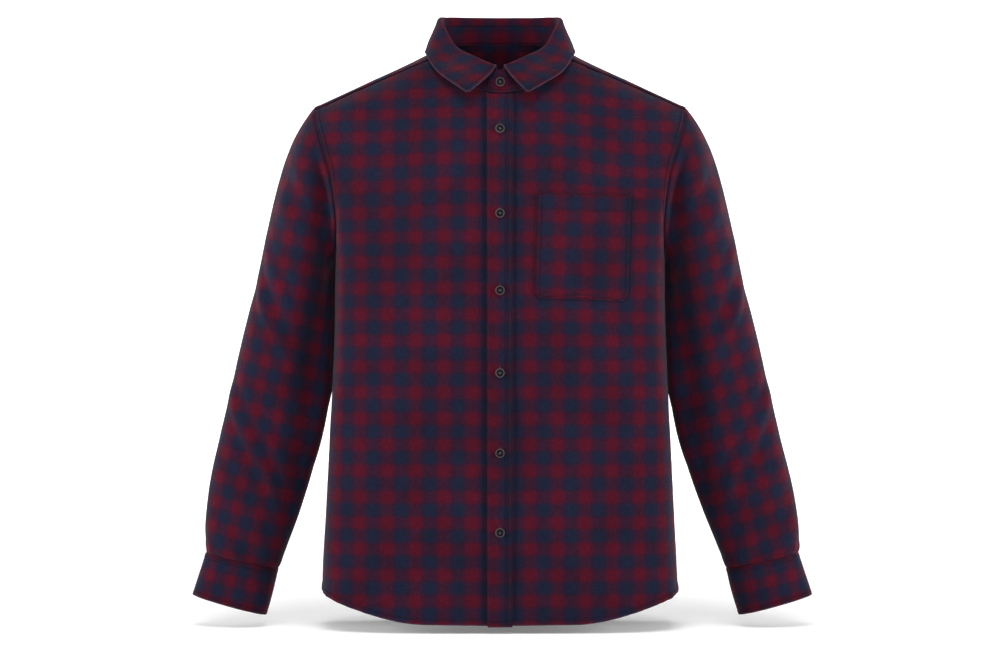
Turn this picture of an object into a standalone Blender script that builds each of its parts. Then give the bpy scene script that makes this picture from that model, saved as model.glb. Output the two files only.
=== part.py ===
"""A men's long-sleeved flannel shirt, filled out as if worn, with no wearer in it.

Metres, +Z up, the front faces -Y and the wearer's left is +X. The origin is the centre of the
neck's base, level with the top of the shoulders. Sizes in the tables are millimetres.

Each cut piece is a surface through rows of points, given thickness inwards by Solidify, so that
the tables hold the outside of the cloth. Pieces that meet at a seam stay SEAM_GAP apart.
"""

import math
from collections import namedtuple

import bmesh
import bpy
import numpy as np

MM = 0.001

# Driving dimensions, in millimetres
CLOTH = 1.3
DOUBLE_CLOTH = 1.9
SEAM_GAP = 0.3
MERGE = 0.01
LAID_ON_GAP = 0.6
FOLDED_SEAM_TRIM = 0.8
UNDERARM_TRIM = 1.2
PLACKET_WIDTH = 30.0
BUTTON_BAND_WIDTH = 25.0
BAND_DROP = 1.5
PANEL_SPACING = 32.0
PANEL_COLUMNS = 11
HEM_LEVEL, HEM_RISEN = 0.33, 0.97
NECK_STEP = 0.5
SHIRT_COLOUR = (0.10, 0.015, 0.035, 1.0)
TRIM_COLOUR = (0.03, 0.018, 0.04, 1.0)
BUTTON_COLOUR = (0.022, 0.024, 0.03, 1.0)

# The half body at +X, from the front hem over the shoulder to the back hem, a row for each
# line across the cloth. inner lies on the centre front, the neckline or the centre back, and
# outer on the side seam or the armhole. In plan a row is a curve that leaves both ends towards
# its corner, as far as pull says. Its height goes from inner to outer evenly where ease is 0,
# and as a shirt tail's hem does where it is 1: up in an S from HEM_LEVEL to HEM_RISEN of the
# way. flat is how far a row leaves its inner end straight across, not towards its corner.
BodyRow = namedtuple(
    "BodyRow", "inner_x inner_y inner_z outer_x outer_y outer_z corner_x corner_y pull ease flat"
)
BODY = {
    "front hem": (0, -95, -714, 226.5, 0, -673, 226.5, -95, 0.93, 0.9, 0),
    "front skirt": (0, -94, -640, 224.5, 0, -625, 224.5, -94, 0.93, 0.9, 0),
    "front waist": (0, -92, -500, 218, 0, -496, 218, -92, 0.93, 1, 0),
    "front ribs": (0, -93, -380, 212, 0, -372, 212, -93, 0.93, 1, 0),
    "front underarm": (0, -96, -280, 210, 0, -262, 210, -96, 0.93, 0.8, 0),
    "front armhole low": (0, -97, -224, 206.5, -42, -238, 208, -98, 0.92, 0.4, 0),
    "front armhole": (0, -97, -172, 206, -68, -199, 202, -99, 0.88, 0.2, 0),
    "front chest": (0, -91, -114, 211, -78, -159, 192, -101, 0.78, 0.1, 0.7),
    "front neck": (0, -70, -48, 219, -75, -128, 152, -108, 0.66, 0, 0.85),
    "front collarbone": (33, -63, -41, 227, -61, -101, 150, -92, 0.66, 0, 0.4),
    "front slope": (60, -41, -20, 233, -40, -80, 148, -84, 0.66, 0, 0.2),
    "front yoke seam": (77, -14, 5, 236, -20, -65, 156, -37, 0.66, 0, 0),
    "shoulder top": (80, 9, 13, 237, 5, -60, 158, 4, 0.66, 0, 0),
    "back slope": (73, 32, 20, 235.5, 29, -66, 150, 31, 0.66, 0, 0),
    "back nape": (41, 51, 25, 231, 49, -81, 136, 46, 0.66, 0, 0.3),
    "back neck": (0, 58, 25, 224, 64, -103, 120, 70, 0.66, 0, 0.85),
    "back yoke seam": (0, 87, -84, 216, 76, -128, 130, 94, 0.7, 0.6, 0.85),
    "back blade": (0, 92, -132, 210, 80, -162, 176, 96, 0.78, 0.4, 0.8),
    "back armhole": (0, 94, -175, 206.5, 74, -197, 192, 97, 0.85, 0.2, 0),
    "back armhole low": (0, 95, -226, 207.5, 46, -237, 208, 96, 0.92, 0.4, 0),
    "back underarm": (0, 94, -280, 210, 0, -262, 210, 94, 0.93, 0.8, 0),
    "back ribs": (0, 92, -380, 212, 0, -372, 212, 92, 0.93, 1, 0),
    "back waist": (0, 90, -500, 218, 0, -496, 218, 90, 0.93, 1, 0),
    "back skirt": (0, 91, -640, 224.5, 0, -625, 224.5, 91, 0.93, 0.9, 0),
    "back hem": (0, 92, -722, 226.5, 0, -673, 226.5, 92, 0.93, 0.9, 0),
}
BODY_CORNERS = ("front underarm", "front neck", "back neck", "back underarm")

# The sleeve at +X below the armhole, a ring a row: its outer and inner edge seen from the
# front, and how far it reaches to the front and to the back
Ring = namedtuple("Ring", "outer_x outer_z inner_x inner_z front_y back_y")
SLEEVE = {
    "cap": (257, -90, 213.5, -268, -78, 77),
    "upper arm": (273, -125, 215, -279, -74, 77),
    "biceps": (286, -170, 216, -294, -70, 75),
    "below biceps": (298, -222, 217, -318, -65, 71),
    "above elbow": (312, -286, 217.5, -354, -59, 66),
    "elbow": (328, -350, 219, -394, -54, 60),
    "below elbow": (343, -416, 223.5, -446, -49, 55),
    "forearm": (359, -484, 237, -512, -46, 52),
    "lower forearm": (372.5, -542, 255.5, -570, -43, 49),
    "above wrist": (379, -588, 272, -613, -40, 45),
    "wrist": (379.5, -616, 281.5, -637, -37, 41),
    "cuff seam": (378.5, -629.5, 287, -649.5, -31, 35),
}
SLEEVE_ROUNDNESS = 2.2
# The left sleeve hangs this much farther out at its cuff, and the right one as much nearer
SWING = 3.0
SWING_FROM, SWING_TO = -470, -640
CUFF = {
    "cuff seam": (379.5, -630.5, 286.5, -650.5, -32, 36),
    "cuff middle": (388, -656.5, 293.5, -680, -32, 36),
    "cuff edge": (396.5, -682, 302, -708.5, -31, 35),
}
CUFF_BUTTON_SHARE = 0.5
CUFF_LAP_STARTS = 232.0
CUFF_LAP = 24.0
# The cuff's upper end starts to lift this far before the lap, and is all lifted this far on
CUFF_LIFT_BEFORE = 30.0
CUFF_LIFT_LENGTH = 26.0
SLEEVE_TURNS = 20
SLEEVE_STATIONS = 18
SLEEVE_PLACKET = {"first_turn": 13, "last_turn": 15, "stations": 5}

# The half collar at +X, from the centre front to the centre back: where the stand meets the
# neckline, where the collar folds, where its leaf ends, and the stand's share of the height
Station = namedtuple(
    "Station", "seam_x seam_y seam_z fold_x fold_y fold_z edge_x edge_y edge_z stand_share"
)
COLLAR = {
    "centre front": (0, -70, -48, 1, -66.5, -14, 34, -91, -51, 0.84),
    "front": (33, -63, -41, 30, -50, -1, 57, -76, -36, 0.80),
    "front side": (60, -41, -20, 55, -24, 15, 79, -54, -19, 0.74),
    "side": (77, -14, 5, 70, 0, 43, 93.5, -20, 4, 0.68),
    "back side": (80, 9, 13, 75, 20, 56, 95, 14, 13, 0.67),
    "back turn": (73, 32, 20, 66, 41, 60, 84, 47, 16, 0.66),
    "back": (41, 51, 25, 37, 52, 60.5, 48, 71, 15, 0.66),
    "centre back": (0, 58, 25, 0, 55, 60.5, 0, 78, 14, 0.66),
}
FOLD_RADIUS = 3.5
LEAF_BULGE = 2.5
COLLAR_ENDS = 0.985
# Both collar points lie this far towards the wearer's right
COLLAR_SHIFT = 3.5
COLLAR_SHIFT_FROM = 0.75
STAND_LAP = 14.0
STAND_LAP_LIFT = 2.4
STAND_LIFT_FROM, STAND_LIFT_LENGTH = 0.8, 0.12
STAND_ABOVE_NECKLINE = 0.6
STAND_END_ROUNDING = 0.55

POCKET = {"inner": 44.0, "outer": 163.5, "top": -176.5, "bottom": -307.5, "corner": 12.0}
POCKET_TILT = math.radians(1.6)
BUTTON_RADIUS = 5.7
BUTTON_HEIGHT = 2.6
# The button's section from the middle of its face over its rim to the middle of its back, in
# shares of its radius and height
BUTTON_SECTION = ((0, 0.72), (0.66, 0.72), (0.86, 1), (1, 0.75), (1, 0.35), (0.75, 0), (0, 0))
BUTTON_STEPS = 14
# Extra room behind a flat button where the cloth under it curves
CUFF_BUTTON_ROOM = 0.7
STAND_BUTTON_ROOM = 0.4
PLACKET_BUTTONS = (-95, -200, -296, -399, -499, -598)
STAND_BUTTON_HEIGHT = 0.46


def through(keys, values, at, corners=()):
    """Values between rows of a table, on a curve that is smooth except at its corners."""
    keys = np.asarray(keys, float)
    values = np.asarray(values, float)
    bounds = [keys[0], *corners, keys[-1]]
    for low, high in zip(bounds, bounds[1:]):
        if at <= high or high == keys[-1]:
            inside = (keys >= low) & (keys <= high)
            keys, values = keys[inside], values[inside]
            break
    slopes = np.gradient(values, keys, axis=0, edge_order=min(2, len(keys) - 1))
    i = int(np.clip(np.searchsorted(keys, at) - 1, 0, len(keys) - 2))
    step = keys[i + 1] - keys[i]
    t = (at - keys[i]) / step
    return (
        values[i] * (1 + 2 * t) * (1 - t) ** 2
        + values[i + 1] * t * t * (3 - 2 * t)
        + step * (slopes[i] * t * (1 - t) ** 2 - slopes[i + 1] * t * t * (1 - t))
    )


def lengths(points):
    """How far along its points each one lies."""
    steps = np.linalg.norm(np.diff(points, axis=0), axis=1)
    return np.concatenate([[0.0], np.cumsum(steps)])


def spaced(points, count, trim=(0.0, 0.0), turn_weight=20.0):
    """The line of points again with count of them, closer together where it turns, and with
    its two ends cut back."""
    along = lengths(points)
    ends = (trim[0], along[-1] - trim[1])
    steps = np.diff(points, axis=0)
    steps = steps / np.maximum(np.linalg.norm(steps, axis=1), 1e-9)[:, None]
    bends = np.arccos(np.clip((steps[1:] * steps[:-1]).sum(1), -1, 1))
    turned = np.concatenate([[0.0], np.cumsum(bends), [bends.sum()]])
    weight = along + turn_weight * turned
    marks = np.linspace(*np.interp(ends, along, weight), count)
    at = np.interp(marks, weight, along)
    at[0], at[-1] = ends
    return np.stack([np.interp(at, along, axis) for axis in points.T], 1)


def bezier(start, leave, arrive, end, count):
    """Points of a cubic curve."""
    t = np.linspace(0, 1, count)[:, None]
    return (
        start * (1 - t) ** 3
        + 3 * leave * t * (1 - t) ** 2
        + 3 * arrive * t * t * (1 - t)
        + end * t**3
    )


BODY_ROWS = np.array(list(BODY.values()), float)
BODY_AT = {name: float(place) for place, name in enumerate(BODY)}
CORNERS_AT = [BODY_AT[name] for name in BODY_CORNERS]
ROW_SAMPLES = 120


def body_row(at):
    """A line across the half body at +X, from its inner to its outer end."""
    row = BodyRow(*through(np.arange(len(BODY_ROWS)), BODY_ROWS, at, CORNERS_AT))
    inner = np.array([row.inner_x, row.inner_y])
    outer = np.array([row.outer_x, row.outer_y])
    corner = np.array([row.corner_x, row.corner_y])
    plan = bezier(
        inner,
        inner + row.pull * (corner - inner) * (1, 1 - row.flat),
        outer + row.pull * (corner - outer),
        outer,
        ROW_SAMPLES,
    )
    share = lengths(plan) / lengths(plan)[-1]
    bend = np.clip((share - HEM_LEVEL) / (HEM_RISEN - HEM_LEVEL), 0, 1)
    risen = share + (bend * bend * (3 - 2 * bend) - share) * row.ease
    height = row.inner_z + (row.outer_z - row.inner_z) * risen
    return np.column_stack([plan, height])


def places(first, last, spacing=PANEL_SPACING, trim=0.0):
    """Where a panel's rows go in the body's table: about as far apart as spacing, but along
    the neckline as the collar's stations, and cut back by trim at both ends."""
    neckline = (BODY_AT["front neck"], BODY_AT["back neck"])
    stops = [first, *(c for c in CORNERS_AT if first < c < last), last]
    found = [first]
    for low, high in zip(stops, stops[1:]):
        if low >= neckline[0] and high <= neckline[1]:
            found += list(np.arange(low, high, NECK_STEP)[1:]) + [high]
            continue
        fine = np.linspace(low, high, 60)
        middle = np.array([body_row(at)[ROW_SAMPLES // 2] for at in fine])
        along = lengths(middle)
        steps = math.ceil(along[-1] / spacing)
        found += list(np.interp(np.linspace(0, along[-1], steps + 1)[1:], along, fine))
    for end, towards in ((0, 1), (-1, -2)):
        apart = np.linalg.norm(
            body_row(found[end])[ROW_SAMPLES // 2] - body_row(found[towards])[ROW_SAMPLES // 2]
        )
        if trim:
            found[end] += (found[towards] - found[end]) * trim / apart
    return found


def beyond(row, limit):
    """The part of a row that lies farther from the centre line than limit."""
    if row[0, 0] >= limit:
        return row
    cut = np.array([np.interp(limit, row[:, 0], axis) for axis in row.T])
    return np.vstack([cut, row[row[:, 0] > limit + 1e-6]])


def make_material(name, colour, roughness):
    """A plain material of the piece's own."""
    material = bpy.data.materials.new(name)
    material.use_nodes = True
    shader = material.node_tree.nodes["Principled BSDF"]
    shader.inputs["Base Color"].default_value = colour
    shader.inputs["Roughness"].default_value = roughness
    shader.inputs["Metallic"].default_value = 0.0
    return material


def add_object(name, mesh, colour, roughness):
    """A named object in the shirt's collection, smooth shaded, with its own material."""
    piece = bpy.data.objects.new(name, mesh)
    shirt.objects.link(piece)
    mesh.materials.append(make_material(name, colour, roughness))
    mesh.shade_smooth()
    return piece


def cloth(
    name,
    rows,
    thickness=CLOTH,
    colour=SHIRT_COLOUR,
    closed=False,
    flipped=False,
    both_halves=False,
):
    """A wall of cloth through rows of points that lie on its outer side. closed joins the ends
    of each row, flipped turns the faces round, and both_halves mirrors a half panel."""
    form = bmesh.new()
    grid = [[form.verts.new(np.array(point) * MM) for point in row] for row in rows]
    for low, high in zip(grid, grid[1:]):
        for i in range(len(low) if closed else len(low) - 1):
            j = (i + 1) % len(low)
            corners = (low[i], low[j], high[j], high[i])
            form.faces.new(corners[::-1] if flipped else corners)
    mesh = bpy.data.meshes.new(name)
    form.to_mesh(mesh)
    form.free()
    piece = add_object(name, mesh, colour, 0.9)
    if both_halves:
        halves = piece.modifiers.new("Other half", "MIRROR")
        halves.use_axis = (True, False, False)
        halves.merge_threshold = MERGE * MM
    wall = piece.modifiers.new("Cloth", "SOLIDIFY")
    wall.thickness = thickness * MM
    wall.offset = -1
    wall.use_even_offset = True
    return piece


def across(rows_at, count, limit=0.0):
    """A half panel's rows, each with count points, from limit to its outer end."""
    return [
        spaced(beyond(body_row(at), limit), count, (0.0, outer_trim(at))) for at in rows_at
    ]


def outer_trim(at):
    """How far a row stops short of its outer end: more at the armhole, where cloth folds."""
    in_armhole = BODY_AT["front underarm"] < at < BODY_AT["back underarm"]
    return FOLDED_SEAM_TRIM if in_armhole else SEAM_GAP / 2


def make_fronts():
    """The two fronts, from the placket and the button band to the side seams."""
    rows_at = places(0, BODY_AT["front yoke seam"], trim=SEAM_GAP)
    edge = BUTTON_BAND_WIDTH / 2 + SEAM_GAP
    for name, side in (("front_left", 1), ("front_right", -1)):
        rows = np.array(across(rows_at, PANEL_COLUMNS, edge)) * (side, 1, 1)
        cloth(name, rows, flipped=side < 0)


def make_yoke():
    """The yoke over both shoulders, in one piece behind the neck."""
    rows_at = places(BODY_AT["front yoke seam"], BODY_AT["back yoke seam"], trim=SEAM_GAP)
    cloth("yoke", across(rows_at, PANEL_COLUMNS), both_halves=True)


def make_back():
    """The back below the yoke, from side seam to side seam."""
    rows_at = places(BODY_AT["back yoke seam"], BODY_AT["back hem"], trim=SEAM_GAP)
    cloth("back", across(rows_at, PANEL_COLUMNS), both_halves=True)


def front_depths():
    """For points of the front, the depth at a place across and a height."""
    rows = [body_row(at) for at in np.linspace(0, BODY_AT["shoulder top"], 90)]

    def depth(x, z):
        at_x = [[np.interp(abs(x), row[:, 0], axis) for axis in row.T[1:]] for row in rows]
        depths, heights = np.array(at_x).T
        return np.interp(z, heights, depths)

    return depth


def on_front(x, z, out):
    """A point over the front of the body at x and z, moved out by out along its normal."""
    near = 3.0
    tilt_x = (FRONT_DEPTH(x + near, z) - FRONT_DEPTH(x - near, z)) / (2 * near)
    tilt_z = (FRONT_DEPTH(x, z + near) - FRONT_DEPTH(x, z - near)) / (2 * near)
    normal = np.array([tilt_x, -1.0, tilt_z])
    normal /= np.linalg.norm(normal)
    return np.array([x, FRONT_DEPTH(x, z), z]) + normal * out


def make_bands():
    """The placket with the buttonholes, and the button band that it covers."""
    rows_at = places(0, BODY_AT["front neck"])
    heights = np.array([body_row(at)[0, 2] for at in rows_at])
    heights[-1] -= BAND_DROP
    for name, width, out, hem_drop in (
        ("button_band", BUTTON_BAND_WIDTH, 0.0, 0.0),
        ("placket", PLACKET_WIDTH, CLOTH + LAID_ON_GAP, BAND_DROP),
    ):
        heights[0] -= hem_drop
        across_it = np.linspace(-width / 2, width / 2, 3)
        rows = [[on_front(x, z, out) for x in across_it] for z in heights]
        cloth(name, rows, colour=TRIM_COLOUR)


def make_pocket():
    """The patch pocket on the left front, round at its lower corners."""
    width = POCKET["outer"] - POCKET["inner"]
    middle = (POCKET["outer"] + POCKET["inner"]) / 2
    height = POCKET["top"] - POCKET["bottom"]
    level = POCKET["bottom"] + height / 2
    corner = POCKET["corner"]
    rises = [corner * (1 - math.cos(math.radians(a))) for a in (0, 30, 60, 90)]
    rises += list(np.linspace(corner, height, 7)[1:])
    rows = []
    for rise in rises:
        drop = max(0.0, corner - rise)
        cut = corner - math.sqrt(max(0.0, corner**2 - drop**2))
        half = width / 2 - cut
        line = []
        for x in np.linspace(-half, half, 7):
            z = rise - height / 2
            at_x = middle + x * math.cos(POCKET_TILT) + z * math.sin(POCKET_TILT)
            at_z = level - x * math.sin(POCKET_TILT) + z * math.cos(POCKET_TILT)
            line.append(on_front(at_x, at_z, CLOTH + LAID_ON_GAP))
        rows.append(line)
    cloth("pocket", rows, colour=TRIM_COLOUR)


def armhole_ring(turn):
    """The point of the armhole at a turn in degrees: 0 at the shoulder, 90 at the front, 180
    under the arm and 270 at the back."""
    top = BODY_AT["shoulder top"]
    to_front = turn <= 180
    last = BODY_AT["front underarm"] if to_front else BODY_AT["back underarm"]
    line = np.array([body_row(at)[-1] for at in np.linspace(top, last, 80)])
    share = (turn if to_front else 360 - turn) / 180
    along = lengths(line)
    return np.array([np.interp(share * along[-1], along, axis) for axis in line.T])


def ring_point(row, turn):
    """A point of a sleeve's or a cuff's ring at a turn in degrees, as in armhole_ring."""
    ring = Ring(*row)
    outer = np.array([ring.outer_x, 0.0, ring.outer_z])
    inner = np.array([ring.inner_x, 0.0, ring.inner_z])
    cos, sin = math.cos(math.radians(turn)), math.sin(math.radians(turn))
    power = 2 / SLEEVE_ROUNDNESS
    side = math.copysign(abs(cos) ** power, cos)
    depth = abs(sin) ** power * (ring.front_y if sin > 0 else ring.back_y)
    return (outer + inner) / 2 + side * (outer - inner) / 2 + np.array([0, depth, 0])


def sleeve_line(turn):
    """The line down the sleeve at a turn, from the armhole to the cuff."""
    stops = np.array([armhole_ring(turn), *(ring_point(row, turn) for row in SLEEVE.values())])
    keys = np.arange(len(stops))
    return np.array([through(keys, stops, at) for at in np.linspace(0, keys[-1], 90)])


def hung(points, side):
    """Points of the +X sleeve or cuff where they are on the given side of the body."""
    points = np.array(points)
    low = np.clip((points[:, 2] - SWING_FROM) / (SWING_TO - SWING_FROM), 0, 1)
    points[:, 0] += side * SWING * low * low * (3 - 2 * low)
    return points * (side, 1, 1)


def moved_out(grid, out):
    """A grid of points moved out of the surface through them."""
    along = np.gradient(grid, axis=1)
    up = np.gradient(grid, axis=0)
    normals = np.cross(along, up)
    return grid + normals / np.linalg.norm(normals, axis=2)[..., None] * out


def sleeve_trim(turn):
    """How far the sleeve starts below the armhole: more under the arm, where it turns back."""
    under = (1 - math.cos(math.radians(turn))) / 2
    return FOLDED_SEAM_TRIM + UNDERARM_TRIM * under**4


def make_sleeves():
    """Each sleeve, and on its back the placket of its slit above the cuff."""
    lines = [
        spaced(sleeve_line(turn), SLEEVE_STATIONS, (sleeve_trim(turn), SEAM_GAP), 60)
        for turn in np.linspace(0, 360, SLEEVE_TURNS + 1)[:-1]
    ]
    rows = np.array(lines).transpose(1, 0, 2)
    first, last = SLEEVE_PLACKET["first_turn"], SLEEVE_PLACKET["last_turn"]
    raised = moved_out(rows, CLOTH + LAID_ON_GAP)
    strip = raised[-SLEEVE_PLACKET["stations"] :, first : last + 1]
    for name, side in (("left", 1), ("right", -1)):
        sleeve = [hung(row, side) for row in rows]
        placket = [hung(row, side) for row in strip]
        cloth(f"sleeve_{name}", sleeve, closed=True, flipped=side < 0)
        cloth(f"sleeve_placket_{name}", placket, colour=TRIM_COLOUR, flipped=side < 0)


def cuff_point(turn, share, out=0.0):
    """A point of the cuff at a turn, at a share of the way from its seam to its edge, with the
    lap that lies over its other end lifted off it."""
    rows = np.array([ring_point(row, turn) for row in CUFF.values()])
    point = through(np.arange(len(rows)), rows, share * (len(rows) - 1))
    middle = np.array([ring_point(row, 0) + ring_point(row, 180) for row in CUFF.values()]) / 2
    centre = through(np.arange(len(middle)), middle, share * (len(middle) - 1))
    outward = point - centre
    lift_from = CUFF_LAP_STARTS + 360 - CUFF_LIFT_BEFORE
    lifted = np.clip((turn - lift_from) / CUFF_LIFT_LENGTH, 0, 1)
    lift = lifted * (DOUBLE_CLOTH + 2 * LAID_ON_GAP)
    return point + outward / np.linalg.norm(outward) * (lift + out)


def make_cuffs():
    """Each cuff, lapped at the back of the wrist and buttoned there."""
    turns = np.linspace(CUFF_LAP_STARTS, CUFF_LAP_STARTS + 360 + CUFF_LAP, 27)
    rows = [[cuff_point(turn, share) for turn in turns] for share in np.linspace(0, 1, 3)]
    turn = CUFF_LAP_STARTS + 360 + CUFF_LAP / 2
    behind = SEAM_GAP + CUFF_BUTTON_ROOM
    button = [cuff_point(turn, CUFF_BUTTON_SHARE, out) for out in (behind, behind + 10)]
    for name, side in (("left", 1), ("right", -1)):
        cuff = [hung(row, side) for row in rows]
        cloth(f"cuff_{name}", cuff, DOUBLE_CLOTH, flipped=side < 0)
        seat, ahead = hung(button, side)
        make_button(f"button_cuff_{name}", seat, ahead - seat)


COLLAR_ROWS = np.array(list(COLLAR.values()), float)


def collar_station(at):
    """The collar's seam, fold and edge points and its stand's share, at a place from -1 over
    the centre front on the wearer's right, by 0 behind the neck, to 1 on the wearer's left.
    Past the centre front it goes on across it."""
    key = (1 - abs(at)) * (len(COLLAR_ROWS) - 1)
    row = Station(*through(np.arange(len(COLLAR_ROWS)), COLLAR_ROWS, abs(key)))
    side = math.copysign(1, at) * (1 if key >= 0 else -1)
    seam = np.array([row.seam_x * side, row.seam_y, row.seam_z])
    fold = np.array([row.fold_x * side, row.fold_y, row.fold_z])
    edge = np.array([row.edge_x * side, row.edge_y, row.edge_z])
    edge[0] -= COLLAR_SHIFT * max(0.0, abs(at) - COLLAR_SHIFT_FROM) / (1 - COLLAR_SHIFT_FROM)
    return seam, fold, edge, row.stand_share


def collar_places():
    """Stations round the neck, the same as the rows of the body that end on the neckline."""
    steps = round((len(COLLAR_ROWS) - 1) / NECK_STEP)
    return np.linspace(-1, 1, 2 * steps + 1)


def stand_top(at):
    """Where the stand ends and the collar is sewn to it."""
    seam, fold, edge, share = collar_station(at)
    return seam + (fold - seam) * share


def outward_at(at):
    """The level direction out of the neck opening."""
    ahead = collar_station(at + 0.02)[0]
    behind = collar_station(at - 0.02)[0]
    along = (ahead - behind)[:2]
    return np.array([-along[1], along[0], 0.0]) / np.linalg.norm(along)


def lap_lift(at):
    """How far the lap at the wearer's left is lifted off the stand's other end."""
    return STAND_LAP_LIFT * float(np.clip((at - STAND_LIFT_FROM) / STAND_LIFT_LENGTH, 0, 1))


def stand_point(at, share, out=0.0):
    """A point of the stand at a share of its height, moved out by out."""
    foot = collar_station(at)[0] + np.array([0, 0, STAND_ABOVE_NECKLINE])
    return foot + (stand_top(at) - foot) * share + outward_at(at) * (lap_lift(at) + out)


def half_neck_length():
    """The length of the neck seam from the centre back to the centre front."""
    return lengths(np.array([collar_station(at)[0] for at in np.linspace(0, 1, 60)]))[-1]


def make_stand():
    """The collar stand, round the neck and lapped at the centre front, round at its ends."""
    lap = STAND_LAP / half_neck_length()
    past_front = 1 + lap * np.array([0.4, 0.75, 1.0])
    places_along = [*-past_front[::-1], *collar_places(), *past_front]
    rows = []
    for share in (0.0, 0.5, 1.0):
        line = []
        for at in places_along:
            past = max(0.0, (abs(at) - 1) / lap)
            rounded = 1 - STAND_END_ROUNDING * (1 - math.sqrt(max(0.0, 1 - past**2)))
            line.append(stand_point(at, share * rounded))
        rows.append(line)
    cloth("collar_stand", rows, colour=TRIM_COLOUR, flipped=True)


def leaf_line(at):
    """The collar's section at a place: from the stand up, over the fold and down its leaf."""
    seam, fold, edge, _ = collar_station(at)
    lift = lap_lift(at)
    along = collar_station(at + 0.02)[1] - collar_station(at - 0.02)[1]
    out = np.cross(fold - seam, along)
    out /= np.linalg.norm(out)
    up = np.cross(along, out)
    up /= np.linalg.norm(up)
    foot = stand_top(at) + out * (lift - CLOTH) + up * SEAM_GAP * 2
    middle = fold - up * FOLD_RADIUS + out * (lift - CLOTH + FOLD_RADIUS)
    angles = np.linspace(0, math.pi, 13)[:, None]
    roll = middle - out * np.cos(angles) * FOLD_RADIUS + up * np.sin(angles) * FOLD_RADIUS
    leaf_end = edge + out * lift
    down = leaf_end - roll[-1]
    fall = bezier(
        roll[-1],
        roll[-1] + (down - up * np.linalg.norm(down)) * 0.17,
        leaf_end - down * 0.35 + out * LEAF_BULGE,
        leaf_end,
        24,
    )
    return np.vstack([foot, roll, fall[1:]])


def make_collar():
    """The collar, sewn to the stand's top, folded over with a point at each front end."""
    rows = [
        spaced(leaf_line(at), 11, turn_weight=7) for at in collar_places() * COLLAR_ENDS
    ]
    cloth("collar", np.array(rows).transpose(1, 0, 2), DOUBLE_CLOTH)


def make_button(name, seat, facing):
    """A flat round button with a raised rim, its back at seat: a section turned about Z."""
    mesh = bpy.data.meshes.new(name)
    points = [
        (radius * BUTTON_RADIUS * MM, 0, height * BUTTON_HEIGHT * MM)
        for radius, height in BUTTON_SECTION
    ]
    mesh.from_pydata(points, [(i, i + 1) for i in range(len(points) - 1)], [])
    button = add_object(name, mesh, BUTTON_COLOUR, 0.35)
    turned = button.modifiers.new("Turned", "SCREW")
    turned.steps = BUTTON_STEPS
    turned.render_steps = BUTTON_STEPS
    turned.use_merge_vertices = True
    turned.merge_threshold = MERGE * MM
    turned.use_smooth_shade = True
    button.location = np.array(seat) * MM
    facing = np.array(facing) / np.linalg.norm(facing)
    button.rotation_euler = (0, math.acos(facing[2]), math.atan2(facing[1], facing[0]))


def make_front_buttons():
    """Six buttons down the placket and one on the stand."""
    proud = CLOTH + LAID_ON_GAP + SEAM_GAP
    for number, height in enumerate(PLACKET_BUTTONS, 1):
        seat = on_front(0, height, proud)
        make_button(f"button_{number}", seat, on_front(0, height, proud + 10) - seat)
    seat = stand_point(1.0, STAND_BUTTON_HEIGHT, SEAM_GAP + STAND_BUTTON_ROOM)
    across_it = stand_point(0.98, STAND_BUTTON_HEIGHT) - stand_point(1.02, STAND_BUTTON_HEIGHT)
    up_it = stand_point(1.0, 1.0) - stand_point(1.0, 0.0)
    make_button("button_stand", seat, np.cross(across_it, up_it))


for old in list(bpy.data.objects):
    bpy.data.objects.remove(old)
shirt = bpy.data.collections.new("Flannel shirt")
bpy.context.scene.collection.children.link(shirt)

FRONT_DEPTH = front_depths()
make_fronts()
make_yoke()
make_back()
make_bands()
make_pocket()
make_sleeves()
make_cuffs()
make_stand()
make_collar()
make_front_buttons()
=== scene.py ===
"""The looks of the flannel shirt: its cloth, check, seams, stitches, creases and buttons.

Sheets are worked out in millimetres in the frame's axes: +Z up, the front faces -Y and the wearer's
left is +X. The tables of the shirt's form are those of its solids. Each sheet is sampled finely, gets
relief for its seams, hems and creases, and becomes a closed wall of cloth. Its UV map counts periods
of the check along the grain of that piece.
"""

import math
from collections import namedtuple

import bpy
import numpy as np
from mathutils import Matrix


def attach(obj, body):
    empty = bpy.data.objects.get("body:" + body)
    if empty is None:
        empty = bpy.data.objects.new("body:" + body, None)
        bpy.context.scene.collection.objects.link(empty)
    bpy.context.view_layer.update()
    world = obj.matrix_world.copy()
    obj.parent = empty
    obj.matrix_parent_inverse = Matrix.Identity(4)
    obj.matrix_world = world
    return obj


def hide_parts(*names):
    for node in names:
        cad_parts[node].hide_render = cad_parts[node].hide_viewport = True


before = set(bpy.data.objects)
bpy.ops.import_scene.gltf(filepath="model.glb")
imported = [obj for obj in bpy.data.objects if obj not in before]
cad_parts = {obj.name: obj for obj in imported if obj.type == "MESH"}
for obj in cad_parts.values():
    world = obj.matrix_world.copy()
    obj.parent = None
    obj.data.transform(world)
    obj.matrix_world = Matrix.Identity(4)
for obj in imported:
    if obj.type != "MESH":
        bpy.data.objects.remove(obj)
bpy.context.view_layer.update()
MM = 0.001

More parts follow.
